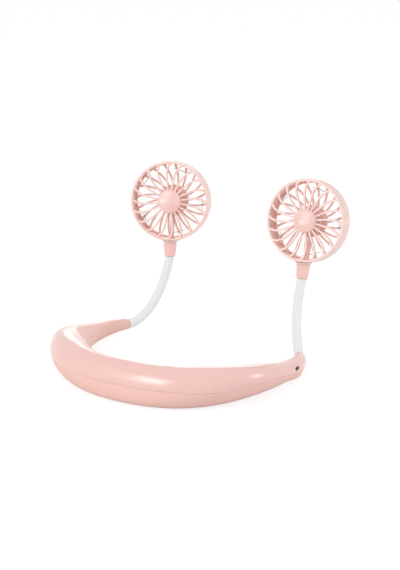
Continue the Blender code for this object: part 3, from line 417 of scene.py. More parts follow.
LAMP_WHITE = plastic("lamp_lens", linear(238, 238, 234), 0.15, 0.25, 0.02)
BLACK = plastic("black_moulding", linear(26, 26, 27), 0.4, 0.55, 0.1, (2400, 0.00002))
LEAD = plastic("lead_jacket", linear(150, 150, 152), 0.45, 0.6, 0.05, (2400, 0.00002))
FOIL = brushed("cell_wrap", linear(176, 182, 190), 0.36, (1, 1, 12), 0.6)
STEEL = brushed("machined_steel", linear(196, 196, 200), 0.28, (1, 1, 18))
SOCKET_METAL = brushed("socket_shell", linear(198, 180, 174), 0.5, (1, 1, 18), 0.3)


def board_material():
    """Green solder mask over a pattern of copper tracks."""
    surface = Surface("green_board", IOR=1.5, Coat_Weight=0.3, Coat_Roughness=0.2)
    brick = new_node(surface.tree, "TexBrick", Scale=260, Mortar_Size=0.06, Color1=linear(22, 92, 48),
                     Color2=linear(26, 104, 56), Mortar=linear(84, 132, 70))
    surface.tree.links.new(surface.place, brick.inputs["Vector"])
    surface.tree.links.new(brick.outputs["Color"], surface.shader.inputs["Base Color"])
    surface.roughness(surface.noise(scale=300), low=0.35, high=0.5)
    return surface.material


BOARD = board_material()


# ---- Mesh helpers ----

def added(name, data):
    """A new object in the scene."""
    made = bpy.data.objects.new(name, data)
    bpy.context.scene.collection.objects.link(made)
    return made


def meshed(name, bm):
    """Turn a bmesh into an object."""
    mesh = bpy.data.meshes.new(name)
    bmesh.ops.recalc_face_normals(bm, faces=bm.faces)
    bm.to_mesh(mesh)
    bm.free()
    return added(name, mesh)


def dressed(piece, look, body, node):
    """Give a piece its material and smooth shading. It rides on a body and stands for a CAD node."""
    piece.data.materials.clear()
    piece.data.materials.append(look)
    piece.data.shade_smooth()
    piece.data.set_sharp_from_angle(angle=radians(SHARP_ANGLE))
    if body:
        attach(piece, body)
    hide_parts(node)
    return piece


def combined(target, others, operation):
    """Apply exact Booleans with other objects, which are then removed."""
    for other in others:
        step = target.modifiers.new(other.name, "BOOLEAN")
        step.operation = operation
        step.solver = "EXACT"
        step.object = other
    bpy.context.view_layer.update()
    graph = bpy.context.evaluated_depsgraph_get()
    made = bpy.data.meshes.new_from_object(target.evaluated_get(graph))
    target.modifiers.clear()
    old = target.data
    target.data = made
    bpy.data.meshes.remove(old)
    for other in others:
        bpy.data.objects.remove(other)
    return target


def loft(bm, loops, ends="filled"):
    """Faces between successive loops of points. The two ends are filled, joined to each other or open."""
    rows = [[bm.verts.new(p) for p in loop] for loop in loops]
    if ends == "joined":
        rows.append(rows[0])
    for row, after in zip(rows, rows[1:]):
        for k in range(len(row)):
            n = (k + 1) % len(row)
            bm.faces.new((row[k], row[n], after[n], after[k]))
    if ends == "filled":
        bm.faces.new(rows[0][::-1])
        bm.faces.new(rows[-1])
    return rows


def filleted(outline, radius, steps):
    """The outline with its corners rounded, each by its own radius or all by one."""
    result = []
    count = len(outline)
    for k, point in enumerate(outline):
        r = radius[k] if isinstance(radius, tuple) else radius
        if r == 0:
            result.append(tuple(point))
            continue
        here = Vector(point)
        before = Vector(outline[k - 1]) - here
        after = Vector(outline[(k + 1) % count]) - here
        a, b = before.normalized(), after.normalized()
        half = a.angle(b) / 2
        back = min(r / tan(half), LARGEST_CORNER_SHARE * min(before.length, after.length))
        start, end = here + a * back, here + b * back
        for s in range(steps + 1):
            t = s / steps
            spot = start * (1 - t) ** 2 + here * 2 * t * (1 - t) + end * t * t
            result.append((spot.x, spot.y))
    return result


def rounded_bar(half, low, high, rounding, steps):
    """The outline of a rounded rectangle."""
    return filleted([(-half, low), (half, low), (half, high), (-half, high)], rounding, steps)


def turned(name, profile, steps, matrix):
    """Turn a profile of (radius, height) about Z. It is a loop, unless it starts and ends on the axis."""
    bm = bmesh.new()
    columns = []
    for radius, height in profile:
        if radius < ON_AXIS:
            columns.append([bm.verts.new(matrix @ Vector((0, 0, height)))])
            continue
        columns.append([
            bm.verts.new(matrix @ Vector((radius * cos(2 * pi * s / steps),
                                          radius * sin(2 * pi * s / steps), height)))
            for s in range(steps)])
    pairs = list(zip(columns, columns[1:]))
    if profile[0][0] > ON_AXIS:
        pairs.append((columns[-1], columns[0]))
    for a, b in pairs:
        if len(a) == 1 and len(b) == 1:
            continue
        for s in range(steps):
            n = (s + 1) % steps
            if len(a) == 1:
                bm.faces.new((a[0], b[s], b[n]))
            elif len(b) == 1:
                bm.faces.new((a[s], a[n], b[0]))
            else:
                bm.faces.new((a[s], a[n], b[n], b[s]))
    return meshed(name, bm)


# ---- Neckband ----

def smooth_through(stations, values):
    """A smooth curve through values at stations, level at the first, with no overshoot."""
    spans = [b - a for a, b in zip(stations, stations[1:])]
    rises = [(b - a) / s for a, b, s in zip(values, values[1:], spans)]
    slopes = [0]
    for left, right in zip(rises, rises[1:]):
        slopes.append(2 * left * right / (left + right) if left * right > 0 else 0)
    slopes.append(rises[-1])

    def value(at):
        at = min(max(at, stations[0]), stations[-1])
        k = max(i for i in range(len(spans)) if stations[i] <= at)
        share = (at - stations[k]) / spans[k]
        stay = (1 + 2 * share) * (1 - share) ** 2
        arrive = share * share * (3 - 2 * share)
        leave_slope = share * (1 - share) ** 2 * spans[k]
        arrive_slope = share * share * (share - 1) * spans[k]
        return (stay * values[k] + arrive * values[k + 1]
                + leave_slope * slopes[k] + arrive_slope * slopes[k + 1])
    return value


def bezier(points, share):
    """A point on the Bezier curve of any degree through these control points."""
    while len(points) > 1:
        points = [a.lerp(b, share) for a, b in zip(points, points[1:])]
    return points[0]


def band_path():
    """Points along half of the band's path, with their distance along it."""
    controls = [Vector((x * BAND_HALF_WIDTH, y * BAND_LENGTH + BACK_FORWARD, 0)) for x, y in PATH_SHARES]
    points = [bezier(controls, k / PATH_SAMPLES) for k in range(PATH_SAMPLES + 1)]
    lengths = [0]
    for a, b in zip(points, points[1:]):
        lengths.append(lengths[-1] + (b - a).length)
    return points, lengths


PATH_POINTS, PATH_LENGTHS = band_path()
HALF_LENGTH = PATH_LENGTHS[-1]
PATH_AT = [length / HALF_LENGTH for length in PATH_LENGTHS]


def path_point(share):
    """The path point at this share of the half length, and the direction towards the arm's end."""
    low = min(bisect_right(PATH_AT, abs(share)), len(PATH_AT) - 1) - 1
    inside = (abs(share) - PATH_AT[low]) / (PATH_AT[low + 1] - PATH_AT[low])
    point = PATH_POINTS[low].lerp(PATH_POINTS[low + 1], inside)
    before = PATH_POINTS[max(low - 2, 0)]
    after = PATH_POINTS[min(low + 3, len(PATH_POINTS) - 1)]
    along = (after - before).normalized()
    if share < 0:
        point = Vector((-point.x, point.y, 0))
        along = Vector((-along.x, along.y, 0))
    return point, along


half_height = smooth_through(
    HEIGHT_STATION_SHARES, [s * BACK_HALF_HEIGHT for s in HEIGHT_SHARES] + [ARM_END_RADIUS])
outer_bulge = smooth_through(
    BULGE_STATION_SHARES, [s * OUTER_BULGE for s in OUTER_SHARES] + [ARM_END_RADIUS])
inner_bulge = smooth_through(
    BULGE_STATION_SHARES, [s * INNER_BULGE for s in INNER_SHARES] + [ARM_END_RADIUS])
lean_angle = smooth_through(LEAN_STATION_SHARES, (BACK_LEAN, SIDE_LEAN, 0))
outer_seam = smooth_through(SEAM_STATION_SHARES, OUTER_SEAM_ANGLES)
inner_seam = smooth_through(INNER_SEAM_STATION_SHARES, INNER_SEAM_ANGLES)
TOWARDS_OUTSIDE = Matrix.Rotation(radians(-90), 4, "X")


def centre_height(share):
    """Height of the section's middle, with its flat underside on the ground."""
    return half_height(share) - REST_FLAT * (1 - END_FLAT_SHARE * share ** 4)


def band_frame(share):
    """Axes of the leaning section: X along the arm, Y outwards, Z up through its top."""
    point, along = path_point(share)
    outward = Vector((along.y, -along.x, 0)) if share >= 0 else Vector((-along.y, along.x, 0))
    lean = radians(lean_angle(abs(share)))
    up = Vector((0, 0, 1))
    y_axis = outward * cos(lean) + up * sin(lean)
    z_axis = up * cos(lean) - outward * sin(lean)
    x_axis = y_axis.cross(z_axis)
    result = Matrix((x_axis, y_axis, z_axis)).transposed().to_4x4()
    result.translation = point + up * centre_height(abs(share))
    return result


class Station:
    """The band's section at one share of its half length."""

    def __init__(self, share):
        station = abs(share)
        self.share = share
        self.frame = band_frame(share)
        self.height = half_height(station)
        self.outer = outer_bulge(station)
        self.inner = inner_bulge(station)
        fade = station ** END_POWER_SPEED
        self.outer_power = 2 / (OUTER_POWER + (END_POWER - OUTER_POWER) * fade)
        self.inner_power = 2 / (INNER_POWER + (END_POWER - INNER_POWER) * fade)

    def offset(self, angle, inset):
        angle = radians(angle)
        across, rise = cos(angle), sin(angle)
        outside = across > 0
        power = self.outer_power if outside else self.inner_power
        bulge = self.outer if outside else self.inner
        y = copysign(abs(across) ** power, across) * (bulge - inset)
        z = copysign(abs(rise) ** power, rise) * (self.height - inset)
        return y, z

    def heel(self, angle):
        """How far the underside swells outwards beside the charging port."""
        along = (self.share - HEEL_STATION_SHARE) / HEEL_SPREAD
        around = ((angle - HEEL_ANGLE + 180) % 360 - 180) / HEEL_SWEEP
        if max(abs(along), abs(around)) >= 1:
            return 0
        return HEEL_REACH * (cos(pi / 2 * along) * cos(pi / 2 * around)) ** 2

    def round_point(self, angle, inset=0):
        y, z = self.offset(angle, inset)
        spot = self.frame @ Vector((0, y, z))
        outward = self.frame.to_3x3() @ Vector((0, 1, 0))
        outward.z = 0
        return spot + outward.normalized() * self.heel(angle)

    def point(self, angle, inset=0):
        spot = self.round_point(angle, inset)
        spot.z = max(spot.z, inset)
        return spot

    def reach(self, angle):
        """Distance along the skin for each degree."""
        return (self.point(angle + 1) - self.point(angle - 1)).length / 2

    def flat_edge(self, start, end):
        for _ in range(FLAT_SEARCH_STEPS):
            middle = (start + end) / 2
            if self.round_point(middle).z > 0:
                start = middle
            else:
                end = middle
        return end


def spread_angles(stops, steps):
    """Angles from the first stop to the last, evenly spread between stops."""
    angles = [stops[0]]
    for start, end, count in zip(stops, stops[1:], steps):
        angles += [start + (end - start) * (k + 1) / count for k in range(count)]
    return angles


def end_inset(share):
    """How far the skin draws in where the arm's end is rounded over."""
    left = (1 - abs(share)) * HALF_LENGTH
    if left >= END_ROUND:
        return 0
    return END_ROUND - sqrt(END_ROUND ** 2 - (END_ROUND - left) ** 2)


def seam_width(share):
    """The parting line is closed on the left of the back and opens towards the right."""
    start, end = SEAM_WIDENS
    opened = min(1, max(0, (share - start) / (end - start)))
    return SEAM_WIDTHS[0] + (SEAM_WIDTHS[1] - SEAM_WIDTHS[0]) * opened


def shell_ring(station, first, last, steps, stops=()):
    """One closed loop of a shell: skin, rounded seam edges and inside face."""
    draw = end_inset(station.share)
    seam = seam_width(station.share)
    first += seam / 2 / station.reach(first)
    last -= seam / 2 / station.reach(last)
    first_reach, last_reach = station.reach(first), station.reach(last)

    def edge(angle, reach, way):
        turns = [pi / 2 * k / EDGE_STEPS for k in range(EDGE_STEPS + 1)]
        return [(angle + way * EDGE_ROUND * (1 - cos(turn)) / reach,
                 EDGE_ROUND * (1 - sin(turn)) + draw) for turn in turns]
    start = first + EDGE_ROUND / first_reach
    end = last - EDGE_ROUND / last_reach
    middles = spread_angles((start, *stops, end), steps)
    ring = [(first, WALL)] + edge(first, first_reach, 1)
    ring += [(angle, draw) for angle in middles[1:-1]]
    ring += edge(last, last_reach, -1)[::-1] + [(last, WALL)]
    inside = [(angle, WALL) for angle in middles[1:-1][::-2]]
    return [station.point(angle, inset) for angle, inset in ring + inside]


def band_shares():
    """Stations along the whole band, close together where the arms' ends are rounded over."""
    near = [1 - END_ROUND * (1 - sin(pi / 2 * k / END_ROWS)) / HALF_LENGTH
            for k in range(END_ROWS + 1)][::-1]
    limit = near[-1]
    middle = [-limit + 2 * limit * k / BAND_ROWS for k in range(1, BAND_ROWS)]
    return [-share for share in near] + middle + near[::-1]


def band_shell(name, ring_at):
    """A hollow shell along the whole band, from one loop at each station."""
    bm = bmesh.new()
    loops = [ring_at(Station(share)) for share in band_shares()]
    rows = loft(bm, loops, "open")
    for row in (rows[0], rows[-1]):
        bmesh.ops.triangle_fill(bm, edges=[
            bm.edges.get((row[k], row[(k + 1) % len(row)])) for k in range(len(row))], use_beauty=True)
    return meshed(name, bm)


def outer_ring(station):
    """The upper and outer shell's loop."""
    share = abs(station.share)
    return shell_ring(station, outer_seam(share), inner_seam(share), (OUTER_STEPS,))


def inner_ring(station):
    """The lower and neck-side shell's loop, with stops at both edges of the flat underside."""
    first = inner_seam(abs(station.share))
    last = outer_seam(abs(station.share)) + 360
    lowest = min(LOWEST_ANGLES, key=lambda angle: station.round_point(angle).z)
    stops = (station.flat_edge(first, lowest), station.flat_edge(last, lowest))
    return shell_ring(station, first, last, INNER_STEPS, stops)


def studs(name, places, steps=HOLE_STEPS):
    """Plain cylinders as one mesh, from (matrix, radius, low, high) along each matrix's Z."""
    bm = bmesh.new()
    for matrix, radius, low, high in places:
        where = matrix @ Matrix.Translation((0, 0, (low + high) / 2))
        bmesh.ops.create_cone(bm, cap_ends=True, segments=steps, radius1=radius, radius2=radius,
                              depth=high - low, matrix=where)
    return meshed(name, bm)


def port_hole(arm):
    """The charging port's mouth, as a bar across the outer wall."""
    mouth_y, mouth_z = Station(PORT_STATION_SHARE).offset(PORT_ANGLE, 0)
    outline = rounded_bar(PORT_WIDTH / 2, -PORT_HEIGHT / 2, PORT_HEIGHT / 2,
                          PORT_HEIGHT * PORT_ROUND_SHARE, steps=8)
    bm = bmesh.new()
    loft(bm, [[arm @ (Vector((0, mouth_y, mouth_z)) + Vector((x, y, z))) for x, z in outline]
              for y in (-PORT_REACH, PORT_REACH)])
    return meshed("port", bm)


def skin_offset(section_frame, along):
    """How far towards the neck the band's skin lies, in a straight frame, this far along it."""
    spot = section_frame @ Vector((along, 0, 0))
    best = min(range(len(PATH_AT)), key=lambda k: (PATH_POINTS[k].xy - spot.xy).length)
    skin = Station(PATH_AT[best]).point(180)
    return (section_frame.inverted() @ skin).y


def inner_wall_at(share, height):
    """Where the inside face of the neck side lies at this height in the section."""
    station = Station(share)
    bulge = station.inner - WALL
    reach = station.height - WALL
    power = 2 / station.inner_power
    return -bulge * (1 - (height / reach) ** power) ** (1 / power)


def neckband():
    """Both shells with their bosses and openings, and the power button."""
    outer = band_shell("outer_skin", outer_ring)
    inner = band_shell("inner_skin", inner_ring)
    bosses, seats, shanks = [], [], []
    for share in SCREW_STATION_SHARES:
        section_frame = band_frame(share) @ TOWARDS_OUTSIDE
        face = -inner_bulge(abs(share))
        bosses.append((section_frame, BOSS_RADIUS, face + SINK, face + BOSS_DEPTH))
        seats.append((section_frame, SCREW_HEAD_RADIUS + GAP, face - OVERRUN, face + HEAD_SEAT_DEPTH))
        shanks.append((section_frame, SCREW_RADIUS + GAP, face, face + BOSS_DEPTH + OVERRUN))
    combined(inner, [studs("bosses", bosses)], "UNION")
    arm = band_frame(PORT_STATION_SHARE)
    combined(outer, [port_hole(arm)], "DIFFERENCE")

    wall = skin_offset(arm, BUTTON_SETBACK)
    reach = BUTTON_RADIUS + BUTTON_FLANGE
    drop = inner_wall_at(PORT_STATION_SHARE, reach) - inner_wall_at(PORT_STATION_SHARE, 0)
    edges = (skin_offset(arm, BUTTON_SETBACK - reach), skin_offset(arm, BUTTON_SETBACK + reach))
    flange_front = max(wall, *edges) + WALL + drop + GAP
    flange_back = flange_front + BUTTON_FLANGE_THICKNESS
    push = arm @ Matrix.Translation((BUTTON_SETBACK, 0, 0)) @ TOWARDS_OUTSIDE
    lamp_wall = skin_offset(arm, LIGHT_SETBACK)
    lamp = arm @ Matrix.Translation((LIGHT_SETBACK, 0, 0)) @ TOWARDS_OUTSIDE
    holes = shanks + [(push, BUTTON_RADIUS + GAP, wall - 2 * OVERRUN, flange_front),
                      (lamp, LIGHT_RADIUS + GAP / 2, lamp_wall - 2 * OVERRUN, lamp_wall + WALL + OVERRUN)]
    combined(inner, [studs("seats", seats), studs("holes", holes)], "DIFFERENCE")
    dressed(outer, GLOSS_PINK, "neckband", "outer_shell")
    dressed(inner, MATTE_PINK, "neckband", "inner_shell")

    face = wall - BUTTON_PROUD
    profile = [(0, flange_back), (reach, flange_back), (reach, flange_front),
               (BUTTON_RADIUS, flange_front), (BUTTON_RADIUS, face + FINE)]
    for k in range(1, BUTTON_DOME_STEPS + 1):
        share = 1 - k / BUTTON_DOME_STEPS
        profile.append((BUTTON_RADIUS * share, face - BUTTON_DOME * (1 - share ** 2)))
    cap = turned("button_cap", profile, BUTTON_STEPS, push)
    dressed(cap, GLOSS_PINK, "button", "power_button")


# ---- Goosenecks ----

def side_rotation(sign, forwards, outwards, toe_in):
    """Axes of a head: Z up its stem, -Y the way that it blows, turned towards the wearer."""
    z_axis = Vector((sign * sin(radians(outwards)), sin(radians(forwards)), 0))
    z_axis.z = sqrt(1 - z_axis.length_squared)
    facing = Vector((-sign * sin(radians(toe_in)), -cos(radians(toe_in)), 0))
    facing = (facing - z_axis * facing.dot(z_axis)).normalized()
    y_axis = -facing
    x_axis = y_axis.cross(z_axis)
    return Matrix((x_axis, y_axis, z_axis)).transposed().to_4x4()


def route_points(side, sign, tip_frame, base_shift, tip_shift):
    """Evenly read points of the gooseneck's route, with straight ends that move by these shifts."""
    _, base_pull, tip_pull, forwards, outwards = NECK_SETTINGS[side]
    base, along = path_point(sign)
    base.z = centre_height(1)
    tip = tip_frame.translation
    rise = tip_frame.to_3x3() @ Vector((0, 0, 1))
    bend = Vector((sign * tan(radians(outwards)), tan(radians(forwards)), 0))
    arrival = (rise + bend).normalized()
    controls = [base, base + along * base_pull, tip - arrival * tip_pull, tip]
    points = [bezier(controls, k / ROUTE_STEPS) for k in range(ROUTE_STEPS + 1)]
    points[0] = base + along * base_shift
    points[-1] = tip + rise * tip_shift
    return controls, points, along, rise


def swept(points, start_way, end_way):
    """Frames along points that carry no twist from one to the next."""
    ways = [start_way]
    for k in range(1, len(points) - 1):
        ways.append((points[k + 1] - points[k - 1]).normalized())
    ways.append(end_way)
    side = ways[0].orthogonal().normalized()
    frames = []
    for point, way in zip(points, ways):
        side = (side - way * side.dot(way)).normalized()
        frames.append((point, side, way.cross(side)))
    return frames


def tube(name, frames, sides, radius, bore=0, ring_depth=0):
    """A tube along frames, or a rod if it has no bore; ring_depth gives its skin shallow rings."""
    def circle(frame, size):
        point, side, other = frame
        return [point + (side * cos(t) + other * sin(t)) * size
                for t in (2 * pi * s / sides for s in range(sides))]
    skin = [circle(place, radius - ring_depth * (k % 2)) for k, place in enumerate(frames)]
    bm = bmesh.new()
    if bore:
        loft(bm, skin + [circle(place, bore) for place in frames[::-1]], "joined")
    else:
        loft(bm, skin)
    return meshed(name, bm)


def gooseneck(side, sign, tip_frame):
    """Each tube in two halves that meet in the middle of the route."""
    visible, anchored = (GAP, -GAP), (-BASE_ANCHOR, FERRULE_LENGTH)
    layers = (
        ("sleeve", SILICONE, "white_silicone", "gooseneck_sleeve", visible,
         (SLEEVE_SIDES, SLEEVE_RADIUS, CONDUIT_RADIUS + GAP, SLEEVE_RING_DEPTH)),
        ("conduit", STEEL, "steel", "gooseneck_conduit", anchored,
         (CONDUIT_SIDES, CONDUIT_RADIUS, CONDUIT_BORE)),
        ("lead", LEAD, "lead_grey", "motor_lead", anchored, (LEAD_SIDES, LEAD_RADIUS)))
    for layer, look, slot, node, shifts, measures in layers:
        controls, points, along, rise = route_points(side, sign, tip_frame, *shifts)
        frames = swept(points, along, rise)
        half = ROUTE_STEPS // 2
        for part, places in (("lower", frames[:half + 1]), ("upper", frames[half:])):
            piece = dressed(tube(f"{layer}_{part}_{side}", places, *measures), look, None,
                            f"{node}_{side}")
            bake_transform(piece)


# ---- Fan heads ----

def collar(side, tip_frame):
    """The cup under a head, with a fine parting line under its lip and a rounded foot."""
    slope = (COLLAR_TOP_RADIUS - COLLAR_BOTTOM_RADIUS) / COLLAR_HEIGHT

    def side_radius(height):
        return COLLAR_BOTTOM_RADIUS + slope * height
    line_top = COLLAR_HEIGHT - COLLAR_LINE_DROP
    line_low = line_top - COLLAR_LINE_WIDTH
    web = COLLAR_HEIGHT - COLLAR_WEB
    top = COLLAR_HEIGHT + GAP - LIP_GAP
    outline = [(STEM_RADIUS + GAP, top), (side_radius(COLLAR_HEIGHT), top),
               (side_radius(line_top), line_top),
               (side_radius(line_top) - COLLAR_LINE_DEPTH, line_top - FINE),
               (side_radius(line_low) - COLLAR_LINE_DEPTH, line_low + FINE),
               (side_radius(line_low), line_low),
               (side_radius(0), 0), (COLLAR_BORE, 0), (COLLAR_BORE, web), (STEM_RADIUS + GAP, web)]
    cup = turned(f"collar_cup_{side}", filleted(outline, COLLAR_ROUNDS, steps=5), COLLAR_STEPS,
                 tip_frame)
    dressed(cup, COLLAR_PINK, f"{side}_collar", f"collar_{side}")


def rib_mesh(name, hub, rim, curve, bulge, widths, top, depth):
    """A ring of swept ribs with rounded edges that widen into the rim."""
    start, sweep, power = curve
    bm = bmesh.new()
    for rib in range(RIB_COUNT):
        turn = radians(90 + start + 360 * rib / RIB_COUNT)
        loops = []
        for k in range(RIB_STATIONS):
            share = k / (RIB_STATIONS - 1)
            radius = hub + (rim - hub) * share
            angle = turn - radians(sweep) * share ** power
            twist = radians(sweep) * power * share ** (power - 1) / (rim - hub)
            heading = angle - atan(twist * radius)
            set_back = bulge * (1 - share * share)
            centre = Vector((radius * cos(angle), radius * sin(angle), -set_back))
            across = Vector((-sin(heading), cos(heading), 0))
            flare = 1 + RIB_FLARE * exp(-(rim - radius) / RIB_FLARE_REACH)
            half = (widths[0] + (widths[1] - widths[0]) * share) / 2 * flare
            outline = rounded_bar(half, -depth, 0, RIB_ROUND, steps=3)
            loops.append([centre + across * y + Vector((0, 0, top + z)) for y, z in outline])
        loft(bm, loops)
    return meshed(name, bm)


STILL = Matrix.Identity(4)
HEAD_IN_DISC = Matrix.Rotation(radians(-90), 4, "X")


def front_grille():
    """The front ring with its spigot, the petal ribs and the domed hub."""
    top = FAN_DEPTH / 2
    seat = top - RIM_HEIGHT
    joint = seat - GAP + RIM_SEAM
    spigot = FAN_RADIUS - DRUM_WALL - GAP
    spigot_end = seat - SPIGOT_LENGTH
    outline = [(FAN_RADIUS - RIM_WIDTH, top), (FAN_RADIUS, top), (FAN_RADIUS, joint), (spigot, joint),
               (spigot, spigot_end), (spigot - SPIGOT_WALL, spigot_end)]
    ring = turned("grille_model", filleted(outline, GRILLE_RIM_ROUNDS, steps=6), DISC_STEPS, STILL)
    rise = top + HUB_EDGE
    low = rise - HUB_THICKNESS
    dome = [(HUB_RADIUS * k / HUB_DOME_STEPS, rise + HUB_DOME * (1 - (k / HUB_DOME_STEPS) ** 2))
            for k in range(HUB_DOME_STEPS)]
    edge = filleted([dome[-1], (HUB_RADIUS, rise), (HUB_RADIUS, low), (0, low)], HUB_ROUNDS, steps=6)
    hub = turned("hub", dome[:-1] + edge, HUB_STEPS, STILL)
    bars = rib_mesh("front_ribs", HUB_RADIUS - 2 * SINK, FAN_RADIUS - RIM_WIDTH / 2, FRONT_RIB_CURVE,
                    0, (FRONT_RIB_ROOT, FRONT_RIB_WIDTH), top - GAP, FRONT_RIB_DEPTH - 2 * GAP)
    return combined(ring, [bars, hub], "UNION")


def neck_outline():
    """The flange below the drum, the stem with the clip's groove, and the height of the stem's end."""
    foot = -(FAN_RADIUS + FLANGE_HEIGHT + GAP + COLLAR_HEIGHT)
    drum = -(FAN_RADIUS - DRUM_WALL + GAP / 2)
    flange_low = -(FAN_RADIUS + FLANGE_HEIGHT)
    flare = FLANGE_RADIUS + FLANGE_FLARE + FLANGE_SPREAD
    clip_top = foot + COLLAR_HEIGHT - COLLAR_WEB - GAP / 2
    clip_low = clip_top - CLIP_THICKNESS - GAP
    groove = STEM_RADIUS - CLIP_GROOVE_DEPTH
    end = clip_low - STEM_TAIL / 2
    outline = [(0, drum), (flare, drum), (flare, -FAN_RADIUS),
               (FLANGE_RADIUS, -FAN_RADIUS - FLANGE_FLARE - FLANGE_SPREAD),
               (FLANGE_RADIUS, flange_low), (STEM_RADIUS, flange_low), (STEM_RADIUS, clip_top),
               (groove, clip_top), (groove, clip_low), (STEM_RADIUS, clip_low), (STEM_RADIUS, end),
               (0, end)]
    return filleted(outline, NECK_ROUNDS, steps=5), end


def wire_strut(*ends):
    """The bar that carries the wires from the neck to the motor, between (radius, low) ends."""
    outline = rounded_bar(STRUT_WIDTH / 2, 0, STRUT_DEPTH, STRUT_ROUND, steps=8)
    bm = bmesh.new()
    loft(bm, [[Vector((x, -radius, low + z)) for x, z in outline] for radius, low in ends])
    return meshed("strut", bm)


def rear_housing():
    """The drum with its rear ribs, motor cup, wire strut and neck."""
    front = FAN_DEPTH / 2 - RIM_HEIGHT - GAP
    back = -FAN_DEPTH / 2
    wall = FAN_RADIUS - DRUM_WALL
    rim = FAN_RADIUS - REAR_RIM_WIDTH
    outline = [(wall, front), (FAN_RADIUS, front), (FAN_RADIUS, back), (rim, back),
               (rim, back + REAR_RIM_HEIGHT), (wall, back + REAR_RIM_HEIGHT)]
    housing = turned("housing_model", filleted(outline, DRUM_ROUNDS, steps=6), DISC_STEPS, STILL)
    bars = rib_mesh("rear_ribs", MOTOR_PLATE_RADIUS - 2 * SINK, FAN_RADIUS - REAR_RIM_WIDTH / 2,
                    REAR_RIB_CURVE, REAR_BULGE, (REAR_RIB_ROOT, REAR_RIB_WIDTH),
                    back + REAR_RIB_DEPTH - GAP, REAR_RIB_DEPTH - 2 * GAP)
    bore = MOTOR_RADIUS + GAP
    cup_radius = bore + MOTOR_CUP_WALL
    mouth = CUP_FLOOR + MOTOR_CUP_DEPTH
    plate_top = MOTOR_PLATE + MOTOR_PLATE_THICKNESS
    plate_low = MOTOR_PLATE - MOTOR_CUP_DOME
    outline = [(0, CUP_FLOOR), (bore, CUP_FLOOR), (bore, mouth), (cup_radius, mouth),
               (cup_radius, plate_top), (MOTOR_PLATE_RADIUS, plate_top), (MOTOR_PLATE_RADIUS, plate_low),
               (0, plate_low)]
    cup = turned("cup", filleted(outline, CUP_ROUNDS, steps=6), HUB_STEPS, STILL)
    strut = wire_strut((bore + SINK, MOTOR_PLATE), (wall + SINK, back + 2 * GAP))
    outline, end = neck_outline()
    neck = turned("neck", outline, NECK_STEPS, HEAD_IN_DISC)
    combined(housing, [bars, cup, strut, neck], "UNION")
    way = -(FAN_RADIUS - DRUM_WALL - OVERRUN)
    wire_way = studs("wire_way", [(HEAD_IN_DISC, STEM_BORE, end - OVERRUN, way)], STEM_BORE_STEPS)
    rim_room = studs("rim_room", [(STILL, FAN_RADIUS + GAP, front, FAN_DEPTH / 2 + OVERRUN)], DISC_STEPS)
    return combined(housing, [wire_way, rim_room], "DIFFERENCE")


def impeller_hub():
    """The wheel that covers the motor, with the boss that sits on its shaft."""
    nose = CUP_FLOOR + GAP + MOTOR_CAP_LENGTH + GAP + MOTOR_LENGTH + MOTOR_NOSE_HEIGHT
    roof = FAN_DEPTH / 2 + HUB_EDGE - HUB_THICKNESS - IMPELLER_AIR
    skirt = roof - IMPELLER_HUB_HEIGHT
    cavity = IMPELLER_HUB_RADIUS - IMPELLER_HUB_WALL
    under = roof - IMPELLER_ROOF
    bore = SHAFT_RADIUS + SHAFT_FIT
    boss_low = nose + IMPELLER_AIR
    outline = [(0, roof), (IMPELLER_HUB_RADIUS, roof), (IMPELLER_HUB_RADIUS, skirt), (cavity, skirt),
               (cavity, under), (IMPELLER_BOSS_RADIUS, under), (IMPELLER_BOSS_RADIUS, boss_low),
               (bore, boss_low), (bore, under + GAP), (0, under + GAP)]
    return turned("wheel_model", filleted(outline, WHEEL_ROUNDS, steps=4), HUB_STEPS, STILL)


def blades(name, first, last):
    """The five blades between two shares of their length."""
    tip = FAN_RADIUS - DRUM_WALL - GAP - SPIGOT_WALL - BLADE_TIP_AIR
    root = IMPELLER_HUB_RADIUS + FINE / 5
    centre = (REAR_RIM_HEIGHT - FRONT_RIB_DEPTH) / 2
    bm = bmesh.new()
    for blade in range(BLADE_COUNT):
        turn = Matrix.Rotation(2 * pi * blade / BLADE_COUNT, 4, "Z")
        loops = []
        for k in range(BLADE_STATIONS):
            share = first + (last - first) * k / (BLADE_STATIONS - 1)
            radius = root + (tip - root) * share
            chord = BLADE_ROOT_CHORD + (BLADE_TIP_CHORD - BLADE_ROOT_CHORD) * share ** BLADE_CHORD_POWER
            pitch = radians(BLADE_ROOT_PITCH + (BLADE_TIP_PITCH - BLADE_ROOT_PITCH) * share)
            loop = []
            for step in range(BLADE_SIDES):
                t = 2 * pi * step / BLADE_SIDES
                along = chord / 2 * cos(t)
                off = BLADE_THICKNESS / 2 * sin(t)
                around = (along * cos(pitch) - off * sin(pitch)) / radius
                height = along * sin(pitch) + off * cos(pitch)
                spot = Vector((radius * cos(around), radius * sin(around), centre + height))
                loop.append(turn @ spot)
            loops.append(loop)
        loft(bm, loops)
    return meshed(name, bm)


def head_models():
    """The pieces of a fan head, made once for both sides."""
    return [("petal_grille", front_grille(), GRILLE_PINK, "head", "gloss_pink", "front_grille"),
            ("drum_housing", rear_housing(), FAN_PINK, "head", "gloss_pink", "rear_housing"),
            # The hub's colour is painted shade on the clear white impeller.
            ("impeller_hub", impeller_hub(), FROSTED_HUB_PAINTED_SHADE, "impeller", "clear_white", "impeller"),
            ("impeller_blades", blades("blades_model", 0, BLADE_EDGE_SHARE - FINE), CLEAR_WHITE,
             "impeller", "clear_white", "impeller"),
            # The blade tips carry the painted line.
            ("impeller_blade_edges", blades("edges_model", BLADE_EDGE_SHARE, 1), BLADE_TIP_PAINTED_LINE,
             "impeller", "clear_white", "impeller")]


